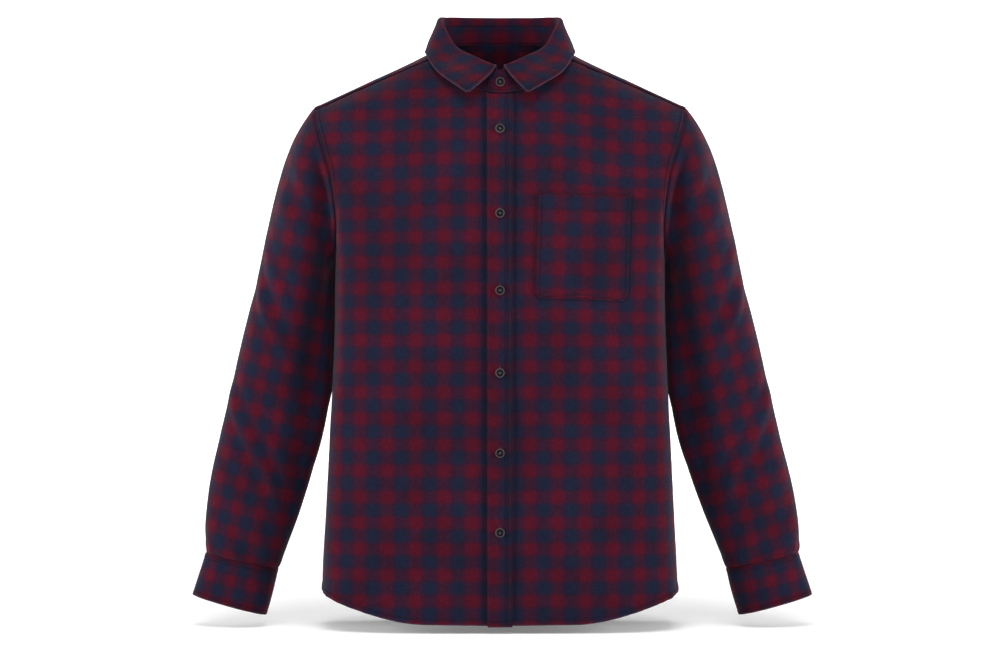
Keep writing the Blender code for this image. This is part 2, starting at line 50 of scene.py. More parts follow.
# The form of the shirt, as in its solids
CLOTH, DOUBLE_CLOTH = 1.3, 1.9
SEAM_GAP, LAID_ON_GAP = 0.3, 0.6
PLACKET_WIDTH, BUTTON_BAND_WIDTH, BAND_DROP = 30.0, 25.0, 1.5
HEM_LEVEL, HEM_RISEN = 0.33, 0.97
BodyRow = namedtuple(
    "BodyRow", "inner_x inner_y inner_z outer_x outer_y outer_z corner_x corner_y pull ease flat"
)
BODY = {
    "front hem": (0, -95, -714, 226.5, 0, -673, 226.5, -95, 0.93, 0.9, 0),
    "front skirt": (0, -94, -640, 224.5, 0, -625, 224.5, -94, 0.93, 0.9, 0),
    "front waist": (0, -92, -500, 218, 0, -496, 218, -92, 0.93, 1, 0),
    "front ribs": (0, -93, -380, 212, 0, -372, 212, -93, 0.93, 1, 0),
    "front underarm": (0, -96, -280, 210, 0, -262, 210, -96, 0.93, 0.8, 0),
    "front armhole low": (0, -97, -224, 206.5, -42, -238, 208, -98, 0.92, 0.4, 0),
    "front armhole": (0, -97, -172, 206, -68, -199, 202, -99, 0.88, 0.2, 0),
    "front chest": (0, -91, -114, 211, -78, -159, 192, -101, 0.78, 0.1, 0.7),
    "front neck": (0, -70, -48, 219, -75, -128, 152, -108, 0.66, 0, 0.85),
    "front collarbone": (33, -63, -41, 227, -61, -101, 150, -92, 0.66, 0, 0.4),
    "front slope": (60, -41, -20, 233, -40, -80, 148, -84, 0.66, 0, 0.2),
    "front yoke seam": (77, -14, 5, 236, -20, -65, 156, -37, 0.66, 0, 0),
    "shoulder top": (80, 9, 13, 237, 5, -60, 158, 4, 0.66, 0, 0),
    "back slope": (73, 32, 20, 235.5, 29, -66, 150, 31, 0.66, 0, 0),
    "back nape": (41, 51, 25, 231, 49, -81, 136, 46, 0.66, 0, 0.3),
    "back neck": (0, 58, 25, 224, 64, -103, 120, 70, 0.66, 0, 0.85),
    "back yoke seam": (0, 87, -84, 216, 76, -128, 130, 94, 0.7, 0.6, 0.85),
    "back blade": (0, 92, -132, 210, 80, -162, 176, 96, 0.78, 0.4, 0.8),
    "back armhole": (0, 94, -175, 206.5, 74, -197, 192, 97, 0.85, 0.2, 0),
    "back armhole low": (0, 95, -226, 207.5, 46, -237, 208, 96, 0.92, 0.4, 0),
    "back underarm": (0, 94, -280, 210, 0, -262, 210, 94, 0.93, 0.8, 0),
    "back ribs": (0, 92, -380, 212, 0, -372, 212, 92, 0.93, 1, 0),
    "back waist": (0, 90, -500, 218, 0, -496, 218, 90, 0.93, 1, 0),
    "back skirt": (0, 91, -640, 224.5, 0, -625, 224.5, 91, 0.93, 0.9, 0),
    "back hem": (0, 92, -722, 226.5, 0, -673, 226.5, 92, 0.93, 0.9, 0),
}
BODY_ROWS = np.array(list(BODY.values()), float)
BODY_AT = {name: float(place) for place, name in enumerate(BODY)}
CORNERS_AT = [BODY_AT[n] for n in ("front underarm", "front neck", "back neck", "back underarm")]
ROW_SAMPLES, OUTLINE_SAMPLES = 120, 500

Ring = namedtuple("Ring", "outer_x outer_z inner_x inner_z front_y back_y")
SLEEVE = {
    "cap": (257, -90, 213.5, -268, -78, 77),
    "upper arm": (273, -125, 215, -279, -74, 77),
    "biceps": (286, -170, 216, -294, -70, 75),
    "below biceps": (298, -222, 217, -318, -65, 71),
    "above elbow": (312, -286, 217.5, -354, -59, 66),
    "elbow": (328, -350, 219, -394, -54, 60),
    "below elbow": (343, -416, 223.5, -446, -49, 55),
    "forearm": (359, -484, 237, -512, -46, 52),
    "lower forearm": (372.5, -542, 255.5, -570, -43, 49),
    "above wrist": (379, -588, 272, -613, -40, 45),
    "wrist": (379.5, -616, 281.5, -637, -37, 41),
    "cuff seam": (378.5, -629.5, 287, -649.5, -31, 35),
}
SLEEVE_ROUNDNESS = 2.2
SWING, SWING_FROM, SWING_TO = 3.0, -470, -640
CUFF = {
    "cuff seam": (379.5, -630.5, 286.5, -650.5, -32, 36),
    "cuff middle": (388, -656.5, 293.5, -680, -32, 36),
    "cuff edge": (396.5, -682, 302, -708.5, -31, 35),
}
CUFF_BUTTON_SHARE = 0.5
CUFF_LAP_STARTS, CUFF_LAP = 232.0, 24.0
CUFF_LIFT_BEFORE, CUFF_LIFT_LENGTH = 30.0, 26.0
SLEEVE_PLACKET_TURNS, SLEEVE_PLACKET_LENGTH = (234.0, 270.0), 108.0

Station = namedtuple(
    "Station", "seam_x seam_y seam_z fold_x fold_y fold_z edge_x edge_y edge_z stand_share"
)
COLLAR = {
    "centre front": (0, -70, -48, 1, -66.5, -14, 34, -91, -51, 0.84),
    "front": (33, -63, -41, 30, -50, -1, 57, -76, -36, 0.80),
    "front side": (60, -41, -20, 55, -24, 15, 79, -54, -19, 0.74),
    "side": (77, -14, 5, 70, 0, 43, 93.5, -20, 4, 0.68),
    "back side": (80, 9, 13, 75, 20, 56, 95, 14, 13, 0.67),
    "back turn": (73, 32, 20, 66, 41, 60, 84, 47, 16, 0.66),
    "back": (41, 51, 25, 37, 52, 60.5, 48, 71, 15, 0.66),
    "centre back": (0, 58, 25, 0, 55, 60.5, 0, 78, 14, 0.66),
}
COLLAR_ROWS = np.array(list(COLLAR.values()), float)
FOLD_RADIUS, LEAF_BULGE = 3.5, 2.5
ROLL_SAMPLES, LEAF_SAMPLES = 13, 24
LEAF_LEAVES, LEAF_ARRIVES = 0.17, 0.35
COLLAR_ENDS, COLLAR_SHIFT, COLLAR_SHIFT_FROM = 0.985, 3.5, 0.75
STAND_LAP, STAND_LAP_LIFT = 14.0, 2.4
STAND_LIFT_FROM, STAND_LIFT_LENGTH = 0.8, 0.12
STAND_ABOVE_NECKLINE, STAND_END_ROUNDING = 0.6, 0.55

POCKET = {"inner": 44.0, "outer": 163.5, "top": -176.5, "bottom": -307.5, "corner": 12.0}
POCKET_TILT = math.radians(1.6)
BUTTON_RADIUS, BUTTON_HEIGHT = 5.7, 2.6
PLACKET_BUTTONS = (-95, -200, -296, -399, -499, -598)
STAND_BUTTON_HEIGHT = 0.46
CUFF_BUTTON_ROOM, STAND_BUTTON_ROOM = 0.7, 0.4

# How finely the sheets are made, and where their rows lie near an edge: close together over its
# fold and its stitches, then wider apart
STEP, FINE_STEP = 3.2, 2.4
EDGE_MARKS = (0.0, 0.5, 1.1, 1.7, 2.3, 3.0, 4.0, 5.0, 5.7, 6.4, 7.1, 8.2, 10.0)
PLAIN_MARKS = (0.0, 1.5, 3.5)

# A seam: the folded cloth's width and rise, its rows of stitches, and the part that lies under
FOLD_WIDTH, FOLD_RISE, FOLD_SLOPE = 7.2, 0.45, 1.8
SEAM_ROWS, HEM_ROWS = (1.8, 6.4), (6.2,)
HEM_RISE, HEM_PUCKER = 0.9, 0.75
STITCH_DEPTH, STITCH_WIDTH = 0.65, 0.9
PUCKER = 0.32
UNDER, UNDER_DEPTH, UNDER_SLOPE = 6.0, 1.55, 3.4
# Widths of the painted highlight along the rims and of the painted shade along the rows of stitches
RIM_HIGHLIGHT_WIDTH, SEAM_SHADE_WIDTH = 2.0, 0.9
RIM_BULGE = 0.32
NOISE_CELLS = 64

# The check: a red and a navy stripe make one period. For each panel: periods in millimetres
# across and along the cloth, and where a red stripe's middle lies on each
Check = namedtuple("Check", "across along red_across red_along")
CHECKS = {
    "front_right": Check(35.3, 32.5, 34.9, -490.1),
    "front_left": Check(34.3, 32.5, 37.4, -490.1),
    "placket": Check(35.0, 32.5, -9.4, -493.1),
    "button_band": Check(35.0, 32.5, 8.0, -480.0),
    "pocket": Check(34.6, 32.5, 4.6, 5.0),
    "back": Check(35.0, 32.5, 0.0, -488.0),
    "yoke": Check(35.0, 32.5, 0.0, 10.0),
    "sleeve_left": Check(29.5, 31.5, 1.6, 12.5),
    "sleeve_right": Check(29.0, 31.5, -14.0, -8.8),
    "cuff_left": Check(27.5, 30.0, 6.1, -7.3),
    "cuff_right": Check(27.5, 30.0, 4.2, -5.2),
    "collar": Check(31.0, 31.0, 0.0, 24.0),
    "collar_stand": Check(35.0, 33.0, 0.0, 8.0),
}
# On the sleeves and cuffs: how far the check's columns and its rows lean, in degrees
LEANS = {
    "sleeve_left": (12.5, 19.0),
    "sleeve_right": (11.0, 15.5),
    "cuff_left": (12.0, 14.0),
    "cuff_right": (12.0, 13.5),
}
LEAST_ACROSS = 0.8


def smooth(t):
    """From 0 to 1 in an S."""
    t = np.clip(t, 0, 1)
    return t * t * (3 - 2 * t)


def bump(distance, width):
    """A soft ridge of height 1 about distance 0."""
    return np.exp(-((distance / width) ** 2))


def unit(vectors):
    """The vectors with length 1."""
    return vectors / np.maximum(np.linalg.norm(vectors, axis=-1), 1e-9)[..., None]


def through(values, at, corners=()):
    """Values between a table's rows, on a curve that is smooth except at its corners."""
    values = np.asarray(values, float)
    keys = np.arange(float(len(values)))
    bounds = [keys[0], *corners, keys[-1]]
    for low, high in zip(bounds, bounds[1:]):
        if at <= high or high == keys[-1]:
            inside = (keys >= low) & (keys <= high)
            keys, values = keys[inside], values[inside]
            break
    slopes = np.gradient(values, keys, axis=0, edge_order=min(2, len(keys) - 1))
    i = int(np.clip(np.searchsorted(keys, at) - 1, 0, len(keys) - 2))
    t = at - keys[i]
    ends = values[i] * (1 + 2 * t) * (1 - t) ** 2 + values[i + 1] * t * t * (3 - 2 * t)
    return ends + slopes[i] * t * (1 - t) ** 2 - slopes[i + 1] * t * t * (1 - t)


def lengths(points):
    """How far along its points each one lies."""
    steps = np.linalg.norm(np.diff(points, axis=0), axis=1)
    return np.concatenate([[0.0], np.cumsum(steps)])


def at_lengths(points, marks):
    """The points at distances along a line, past its ends in a straight line."""
    marks = np.asarray(marks, float)
    along = lengths(points)
    found = np.stack([np.interp(marks, along, axis) for axis in points.T], 1)
    before = np.minimum(marks, 0)[:, None] * unit(points[1] - points[0])
    past = np.maximum(marks - along[-1], 0)[:, None] * unit(points[-1] - points[-2])
    return found + before + past


def bezier(start, leave, arrive, end, count):
    """Points of a cubic curve."""
    t = np.linspace(0, 1, count)[:, None]
    first = start * (1 - t) ** 3 + 3 * leave * t * (1 - t) ** 2
    return first + 3 * arrive * t * t * (1 - t) + end * t**3


def noise(u, v, size, seed):
    """Smooth noise from -1 to 1 over a plane, with lumps of about the given size."""
    table = np.random.default_rng(seed).uniform(-1, 1, (NOISE_CELLS, NOISE_CELLS))
    x, y = np.broadcast_arrays(np.asarray(u, float) / size, np.asarray(v, float) / size)
    i, j = np.floor(x).astype(int), np.floor(y).astype(int)
    s, t = smooth(x - i), smooth(y - j)
    left, right = i % NOISE_CELLS, (i + 1) % NOISE_CELLS
    rows = (j % NOISE_CELLS, (j + 1) % NOISE_CELLS)
    low, high = (table[left, row] * (1 - s) + table[right, row] * s for row in rows)
    return low * (1 - t) + high * t


def count_for(length, step, first=EDGE_MARKS, last=EDGE_MARKS):
    """How many marks a line of some length needs with about a step between them."""
    middle = max(2, round((length - first[-1] - last[-1]) / step) + 1)
    return middle + len(first) + len(last) - 2


def spread(length, count, first=EDGE_MARKS, last=EDGE_MARKS):
    """Distances from 0 to length, count of them: as given near both ends and even between."""
    middle = np.linspace(first[-1], length - last[-1], count - len(first) - len(last) + 2)
    return np.concatenate([first[:-1], middle, length - np.array(last[:-1])[::-1]])


def stepped(length, step=FINE_STEP, *ends):
    """Distances from 0 to length with about a step between them."""
    return spread(length, count_for(length, step, *ends), *ends)


def run_along(points, axis):
    """How far each point of a grid lies along its row or column."""
    steps = np.linalg.norm(np.diff(points, axis=axis), axis=2)
    start = np.zeros((len(points), 1) if axis else (1, points.shape[1]))
    return np.concatenate([start, np.cumsum(steps, axis=axis)], axis=axis)


Sheet = namedtuple("Sheet", "points normals u v left right low high")


def make_normals(points):
    """The directions out of a grid of points."""
    return unit(np.cross(np.gradient(points, axis=1), np.gradient(points, axis=0)))


def sheet(points, u=0.0, v=0.0, inward=False):
    """A grid of points on the outer side of a piece, its normals, each point's place on the cloth
    and its distance from the grid's four edges."""
    points = np.asarray(points, float)
    normals = make_normals(points) * (-1 if inward else 1)
    left, low = run_along(points, 1), run_along(points, 0)
    u, v = np.broadcast_to(u, left.shape), np.broadcast_to(v, left.shape)
    return Sheet(points, normals, u, v, left, left[:, -1:] - left, low, low[-1:] - low)


def raised(form, height):
    """The sheet with its points moved out along its normals, and its normals made again."""
    points = form.points + form.normals * np.asarray(height)[..., None]
    normals = make_normals(points)
    if (normals * form.normals).sum() < 0:
        normals = -normals
    return form._replace(points=points, normals=normals)


def mirrored(form):
    """The sheet on the other side of the body."""
    return form._replace(points=form.points * (-1, 1, 1), normals=form.normals * (-1, 1, 1))


def pucker(form, edge, seed, reach=11.0, amount=PUCKER, size=6.5):
    """The small uneven waves that a line of stitches draws into the cloth along it."""
    away = getattr(form, edge)
    along = form.low if edge in ("left", "right") else form.left
    waves = noise(along, away * 0.45, size, seed)
    waves = waves + 0.5 * noise(along, away * 0.3, size / 2, seed + 1)
    return amount * waves * bump(away, reach)


def fold_relief(form, edge, seed, width=FOLD_WIDTH, rise=FOLD_RISE, rows=SEAM_ROWS):
    """How far the cloth stands out at a folded and stitched edge."""
    away = getattr(form, edge)
    height = rise * smooth((width + FOLD_SLOPE / 2 - away) / FOLD_SLOPE)
    for row in rows:
        height = height - STITCH_DEPTH * bump(away - row, STITCH_WIDTH)
    return height + pucker(form, edge, seed)


def hem_relief(form, edge, seed, pucker_seed):
    """How far the cloth stands out at a hem."""
    relief = fold_relief(form, edge, seed, rise=HEM_RISE, rows=HEM_ROWS)
    return relief + pucker(form, edge, pucker_seed, 9.0, HEM_PUCKER, 8.0)


def under_relief(form, edge, seed, slope=UNDER_SLOPE, depth=UNDER_DEPTH):
    """How far the cloth lies lower where its edge goes under the next piece."""
    away = getattr(form, edge)
    sunk = depth * smooth((UNDER + slope - away) / slope)
    seam = form._replace(**{edge: np.abs(away - UNDER)})
    return pucker(seam, edge, seed, 9.0) - sunk


Crease = namedtuple("Crease", "start_u start_v end_u end_v width height")


def creased(u, v, table):
    """The height of soft creases, each about a straight line on the cloth."""
    height = np.zeros(np.broadcast(u, v).shape)
    for row in table:
        crease = Crease(*row)
        over, up = crease.end_u - crease.start_u, crease.end_v - crease.start_v
        share = (u - crease.start_u) * over + (v - crease.start_v) * up
        share = np.clip(share / (over * over + up * up), 0, 1)
        away = np.hypot(u - crease.start_u - share * over, v - crease.start_v - share * up)
        fade = 1 - (2 * share - 1) ** 4
        height += crease.height * bump(away, crease.width) * (0.25 + 0.75 * fade)
    return height


def soft_waves(x, z, seed):
    """The slight unevenness of worn cloth everywhere."""
    waves = 0.55 * noise(x, z, 58, seed)
    return waves + 0.3 * noise(x, z, 24, seed + 1) + 0.1 * noise(x, z, 9, seed + 2)


# Meshes


def grid_quads(shape, turned=False):
    """The faces of a grid of points, by their numbers."""
    index = np.arange(shape[0] * shape[1]).reshape(shape)
    quads = np.stack([index[:-1, :-1], index[:-1, 1:], index[1:, 1:], index[1:, :-1]], -1)
    quads = quads.reshape(-1, 4)
    return quads[:, ::-1] if turned else quads


def add_mesh(name, points, faces, material, slot="flannel_check", **layers):
    """A smooth mesh in millimetres, with pairs of numbers for its points as UV maps."""
    mesh = bpy.data.meshes.new(name)
    mesh.from_pydata((np.asarray(points) * MM).tolist(), [], [list(map(int, face)) for face in faces])
    corners = np.empty(len(mesh.loops), int)
    mesh.loops.foreach_get("vertex_index", corners)
    for layer_name, values in layers.items():
        layer = mesh.uv_layers.new(name=layer_name)
        layer.data.foreach_set("uv", np.asarray(values, float)[corners].ravel())
    mesh.shade_smooth()
    mesh.materials.append(material)
    piece = bpy.data.objects.new(name, mesh)
    bpy.context.scene.collection.objects.link(piece)
    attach(piece, "root")
    return piece


def wall(name, points, normals, quads, places, thickness, marks):
    """A closed wall of cloth: an outer and an inner side, and a rounded rim at each edge. The
    marks are how strongly each point gets the painted rim highlight and the painted shade of the
    stitches."""
    count = len(points)
    edges = quads[:, [0, 1, 1, 2, 2, 3, 3, 0]].reshape(-1, 2)
    keys = edges[:, 0] * count + edges[:, 1]
    rim = edges[~np.isin(keys, edges[:, 1] * count + edges[:, 0])]
    outward = np.cross(points[rim[:, 1]] - points[rim[:, 0]], normals[rim[:, 0]])
    out = np.zeros_like(points)
    for end in (0, 1):
        np.add.at(out, rim[:, end], outward)
    on_rim = np.unique(rim)
    middle_of = np.full(count, -1)
    middle_of[on_rim] = 2 * count + np.arange(len(on_rim))
    inner = points - normals * thickness
    middle = (points + inner)[on_rim] / 2 + unit(out[on_rim]) * thickness * RIM_BULGE
    first, second = rim.T
    over = np.stack([second, first, middle_of[first], middle_of[second]], 1)
    below = np.stack([middle_of[second], middle_of[first], first + count, second + count], 1)
    # The inner side gets the painted rim highlight only at its rim, and no painted shade
    inner_marks = np.zeros_like(marks)
    inner_marks[on_rim, 0] = marks[on_rim, 0]
    return add_mesh(
        "cloth_" + name,
        np.vstack([points, inner, middle]),
        np.vstack([quads, quads[:, ::-1] + count, over, below]),
        FLANNEL,
        Cloth=np.vstack([places, places, places[on_rim]]),
        Wear=np.vstack([marks, inner_marks, marks[on_rim]]),
    )


def periods(u, v, check):
    """Places on the cloth counted in the check's periods, whole where red stripes cross."""
    across, along = (u - check.red_across) / check.across, (v - check.red_along) / check.along
    return np.stack([across, along], -1).reshape(-1, 2)


def marks_on(form, rim_highlight, sewn):
    """How strongly each point gets the painted highlight, at the given edges, and the painted shade,
    at the rows of stitches.
    """
    marks = np.zeros((*form.u.shape, 2))
    # A painted highlight along the given edges
    for edge in rim_highlight:
        near = smooth((RIM_HIGHLIGHT_WIDTH - getattr(form, edge)) / RIM_HIGHLIGHT_WIDTH)
        marks[..., 0] = np.maximum(marks[..., 0], near)
    # Painted shade along each row of stitches
    for edge, rows in sewn:
        for row in rows:
            near = bump(getattr(form, edge) - row, SEAM_SHADE_WIDTH)
            marks[..., 1] = np.maximum(marks[..., 1], near)
    return marks.reshape(-1, 2)


cloth_pieces = {}


def piece_of(name, form, check=None, thickness=CLOTH, turned=False, rim_highlight=(), sewn=(), runs=None):
    """Makes one sheet a piece of the shirt. The stitches of its sewn edges go to the runs."""
    cloth_pieces[name] = wall(
        name,
        form.points.reshape(-1, 3),
        form.normals.reshape(-1, 3),
        grid_quads(form.u.shape, turned),
        periods(form.u, form.v, CHECKS[check or name]),
        thickness,
        marks_on(form, rim_highlight, sewn),
    )
    if runs is not None:
        sew(runs, form, sewn)


def piece_of_halves(name, form, joined_from, joined_to, sewn, runs):
    """Makes a half sheet and its mirror image one piece, joined along some of their rows."""
    rows, columns = form.u.shape
    count = rows * columns
    halves = (form, mirrored(form))
    shared = np.arange(2 * count)
    seam = np.arange(joined_from, joined_to) * columns
    shared[seam + count] = seam
    normals = np.vstack([half.normals.reshape(-1, 3) for half in halves])
    normals[seam, 0] = 0.0
    points = np.vstack([half.points.reshape(-1, 3) for half in halves])
    points[seam, 0] = 0.0
    places = np.vstack([periods(side * form.u, form.v, CHECKS[name]) for side in (1, -1)])
    turned = grid_quads((rows, columns), True) + count
    faces = shared[np.vstack([grid_quads((rows, columns)), turned])]
    used = np.unique(faces)
    renumbered = np.zeros(2 * count, int)
    renumbered[used] = np.arange(len(used))
    marks = np.tile(marks_on(form, (), sewn), (2, 1))[used]
    cloth_pieces[name] = wall(
        name, points[used], unit(normals)[used], renumbered[faces], places[used], CLOTH, marks
    )
    for half in halves:
        sew(runs, half, sewn)


# Materials


def node(tree, kind, inputs=(), **settings):
    """A shader node with its settings made and its inputs linked or set."""
    made = tree.nodes.new(kind)
    for key, value in settings.items():
        setattr(made, key, value)
    for key, value in dict(inputs).items():
        if isinstance(value, bpy.types.NodeSocket):
            tree.links.new(value, made.inputs[key])
        else:
            made.inputs[key].default_value = value
    return made


def sums(tree, operation, *terms):
    """The output of a math node."""
    return node(tree, "ShaderNodeMath", enumerate(terms), operation=operation).outputs[0]


def vectors(tree, operation, *terms):
    """The vector that a vector math node gives."""
    return node(tree, "ShaderNodeVectorMath", enumerate(terms), operation=operation).outputs[0]


def ranged(tree, value, low, high, to_low=0.0, to_high=1.0):
    """A value taken from one range to another in a soft S."""
    inputs = enumerate((value, low, high, to_low, to_high))
    return node(tree, "ShaderNodeMapRange", inputs, interpolation_type="SMOOTHSTEP").outputs[0]


def mixed(tree, factor, first, second, blend="MIX"):
    """The output of a colour mix."""
    inputs = {0: factor, 6: first, 7: second}
    return node(tree, "ShaderNodeMix", inputs, data_type="RGBA", blend_type=blend).outputs[2]


def multiplied(tree, colour, value):
    """A colour multiplied by a value."""
    grey = node(tree, "ShaderNodeCombineXYZ", enumerate((value, value, value))).outputs[0]
    return mixed(tree, 1.0, colour, grey, "MULTIPLY")


def clouds(tree, place, scale, detail=2.0, roughness=0.5):
    """The value of a noise texture."""
    inputs = {"Vector": place, "Scale": scale, "Detail": detail, "Roughness": roughness}
    return node(tree, "ShaderNodeTexNoise", inputs).outputs[0]


def uv_map(tree, name):
    """The place on a UV map, and its two numbers."""
    place = node(tree, "ShaderNodeUVMap", uv_map=name).outputs[0]
    return place, node(tree, "ShaderNodeSeparateXYZ", {0: place}).outputs


def object_place(tree):
    """The place on the shirt."""
    return node(tree, "ShaderNodeTexCoord").outputs["Object"]


def relief_on(tree, shader, height, strength, distance):
    """Fine relief of the surface from a height."""
    inputs = {"Strength": strength, "Distance": distance, "Height": height}
    tree.links.new(node(tree, "ShaderNodeBump", inputs).outputs[0], shader.inputs["Normal"])


SOCKETS = {
    "roughness": "Roughness",
    "specular": "Specular IOR Level",
    "sheen": "Sheen Weight",
    "sheen_roughness": "Sheen Roughness",
    "sheen_tint": "Sheen Tint",
    "glow": "Emission Color",
}


def new_material(name, **settings):
    """A material, its node tree and its shader with some of its sockets set."""
    material = bpy.data.materials.new(name)
    material.use_nodes = True
    shader = material.node_tree.nodes["Principled BSDF"]
    for key, value in settings.items():
        shader.inputs[SOCKETS[key]].default_value = value
    return material, material.node_tree, shader


# The cube roots of the yarns' colours: mixed so, red and navy give the cloth's dark purple
RED = (0.372, 0.1320, 0.2050, 1)
NAVY = (0.1620, 0.2020, 0.2800, 1)
# The colour of the nap's fuzz, also mixed in at the rims as a painted highlight
FUZZ_AND_RIM_HIGHLIGHT = (0.30, 0.17, 0.24, 1)
# How far the rims are mixed towards the fuzz colour: a painted highlight
RIM_HIGHLIGHT_AMOUNT = 0.07
THREADS = 58.0
STRIPE_EDGE = 0.72
# How far the rows of stitches darken the cloth's colour: painted shade in their grooves
SEAM_SHADE_STRENGTH = 0.48
DRIFT_SCALE, DRIFT = 0.9, 0.07
STREAKS = {0: (42, 3.2, 1), 1: (3.2, 42, 1)}


def make_flannel():
    """Brushed flannel: red and navy yarns woven into a check with soft edges and a fine nap. Its
    rims are painted lighter as a highlight and its rows of stitches painted darker as shade.
    """
    material, tree, shader = new_material(
        "Brushed flannel",
        specular=0.04,
        sheen=0.11,
        sheen_roughness=0.32,
        sheen_tint=(1.0, 0.78, 0.88, 1),
    )
    place = uv_map(tree, "Cloth")[0]
    drift = node(tree, "ShaderNodeTexNoise", {"Vector": place, "Scale": DRIFT_SCALE, "Detail": 2.0})
    centred = vectors(tree, "SUBTRACT", drift.outputs["Color"], (0.5, 0.5, 0.5))
    moved = vectors(tree, "MULTIPLY_ADD", centred, (DRIFT, DRIFT, 0), place)
    axes = node(tree, "ShaderNodeSeparateXYZ", {0: moved}).outputs
    fray = sums(tree, "MULTIPLY_ADD", clouds(tree, place, 46.0), 1.0, -0.5)
    stripes = []
    for axis, stretch in STREAKS.items():
        wave = sums(tree, "COSINE", sums(tree, "MULTIPLY", axes[axis], 2 * math.pi))
        red = ranged(tree, sums(tree, "ADD", wave, fray), -STRIPE_EDGE, STRIPE_EDGE)
        streak = clouds(tree, vectors(tree, "MULTIPLY", place, stretch), 1.0, 3.0)
        shade = ranged(tree, streak, 0.25, 0.75, 0.86, 1.15)
        stripes.append(multiplied(tree, mixed(tree, red, NAVY, RED), shade))
    warp, weft = (sums(tree, "MULTIPLY", axes[axis], THREADS) for axis in STREAKS)
    twill = sums(tree, "SINE", sums(tree, "MULTIPLY", sums(tree, "ADD", warp, weft), math.pi))
    over = ranged(tree, twill, -0.6, 0.6, 0.27, 0.73)
    woven = mixed(tree, over, *stripes)
    woven = mixed(tree, 1.0, woven, mixed(tree, 1.0, woven, woven, "MULTIPLY"), "MULTIPLY")
    patches = ranged(tree, clouds(tree, object_place(tree), 15.0), 0.3, 0.7, 0.90, 1.11)
    # The painted light map: a painted highlight on the rims and painted shade along the stitches
    rim_highlight, seam_shade = uv_map(tree, "Wear")[1][:2]
    # Painted shade: the cloth's colour darker along its rows of stitches
    tone = sums(tree, "MULTIPLY_ADD", seam_shade, -SEAM_SHADE_STRENGTH, 1.0)
    woven = multiplied(tree, woven, sums(tree, "MULTIPLY", patches, tone))
    nap = clouds(tree, place, 85.0, 4.0, 0.7)
    fuzz = ranged(tree, nap, 0.42, 0.85, 0.0, 0.09)
    # The nap's fuzz, plus a painted highlight along the rims
    fuzz_and_highlight_share = sums(tree, "MULTIPLY_ADD", rim_highlight, RIM_HIGHLIGHT_AMOUNT, fuzz)
    tree.links.new(mixed(tree, fuzz_and_highlight_share, woven, FUZZ_AND_RIM_HIGHLIGHT), shader.inputs["Base Color"])
    ribs = sums(tree, "ABSOLUTE", sums(tree, "SINE", sums(tree, "MULTIPLY", warp, math.pi)))
    weave = sums(tree, "MULTIPLY_ADD", ribs, 0.25, sums(tree, "MULTIPLY", over, 0.4))
    lumps = sums(tree, "MULTIPLY", clouds(tree, place, 14.0, 3.0), 1.6)
    height = sums(tree, "ADD", sums(tree, "ADD", weave, nap), lumps)
    relief_on(tree, shader, height, 0.55, 0.0006)
    tree.links.new(ranged(tree, nap, 0.2, 0.8, 0.86, 0.97), shader.inputs["Roughness"])
    return material


def make_thread(name, *colour):
    """Twisted sewing thread."""
    material, tree, shader = new_material(name, roughness=0.75, specular=0.1)
    twist = clouds(tree, object_place(tree), 1400.0)
    light = [min(1.0, channel * 1.9) for channel in colour]
    colours = mixed(tree, twist, (*colour, 1), (*light, 1))
    tree.links.new(colours, shader.inputs["Base Color"])
    relief_on(tree, shader, twist, 0.4, 0.0002)
    return material


def make_button_material():
    """Charcoal polyester, slightly mottled, with painted shade darkening its dish and a painted
    highlight lightening its rim.
    """
    material, tree, shader = new_material("Charcoal button", specular=0.05)
    cloud = clouds(tree, object_place(tree), 260.0, 4.0)
    radius = uv_map(tree, "Face")[1][0]
    rim = ranged(tree, sums(tree, "MULTIPLY_ADD", cloud, 0.06, radius), 0.80, 0.90)
    # Painted shade: the dish much darker than the rim
    shaded_dish = mixed(tree, cloud, (0.003, 0.003, 0.004, 1), (0.008, 0.007, 0.009, 1))
    # Painted highlight: the rim paler
    rim_highlight = mixed(tree, cloud, (0.050, 0.042, 0.046, 1), (0.078, 0.068, 0.073, 1))
    tree.links.new(mixed(tree, rim, shaded_dish, rim_highlight), shader.inputs["Base Color"])
    tree.links.new(ranged(tree, cloud, 0.3, 0.7, 0.34, 0.5), shader.inputs["Roughness"])
    return material


GLOW_NEAR, GLOW_FAR = 0.16, 0.72
GLOW_FROM, GLOW_TO = 0.7, 3.0


def make_floor_material():
    """Matt white paper, with a glow that rises away from the middle of the floor."""
    glow = (1, 1, 1, 1)
    material, tree, shader = new_material("White paper", roughness=0.95, specular=0.0, glow=glow)
    place = object_place(tree)
    grain = clouds(tree, place, 300.0)
    colour = mixed(tree, grain, (0.90, 0.90, 0.90, 1), (0.94, 0.94, 0.94, 1))
    tree.links.new(colour, shader.inputs["Base Color"])
    away = node(tree, "ShaderNodeVectorMath", {0: place}, operation="LENGTH").outputs["Value"]
    glow = ranged(tree, away, GLOW_FROM, GLOW_TO, GLOW_NEAR, GLOW_FAR)
    tree.links.new(glow, shader.inputs["Emission Strength"])
    return material


FLANNEL = make_flannel()
THREAD = make_thread("Dark thread", 0.011, 0.006, 0.014)
BUTTONHOLE_THREAD = make_thread("Buttonhole thread", 0.022, 0.018, 0.026)
BUTTON_THREAD = make_thread("Button thread", 0.060, 0.052, 0.056)
BUTTON = make_button_material()
PAPER = make_floor_material()


# Stitches

STITCH_PITCH, STITCH_LENGTH, THREAD_RADIUS = 3.1, 2.3, 0.3
FINE_STITCH = {"length": 2.0, "radius": 0.26}
# Rings of a stitch: place along its length, share of its radius, and lift in radii
STITCH_RINGS = ((-0.5, 0.4, -0.35), (-0.3, 1.0, 0.1), (0.3, 1.0, 0.1), (0.5, 0.4, -0.35))
BESIDE_STITCH = 0.8


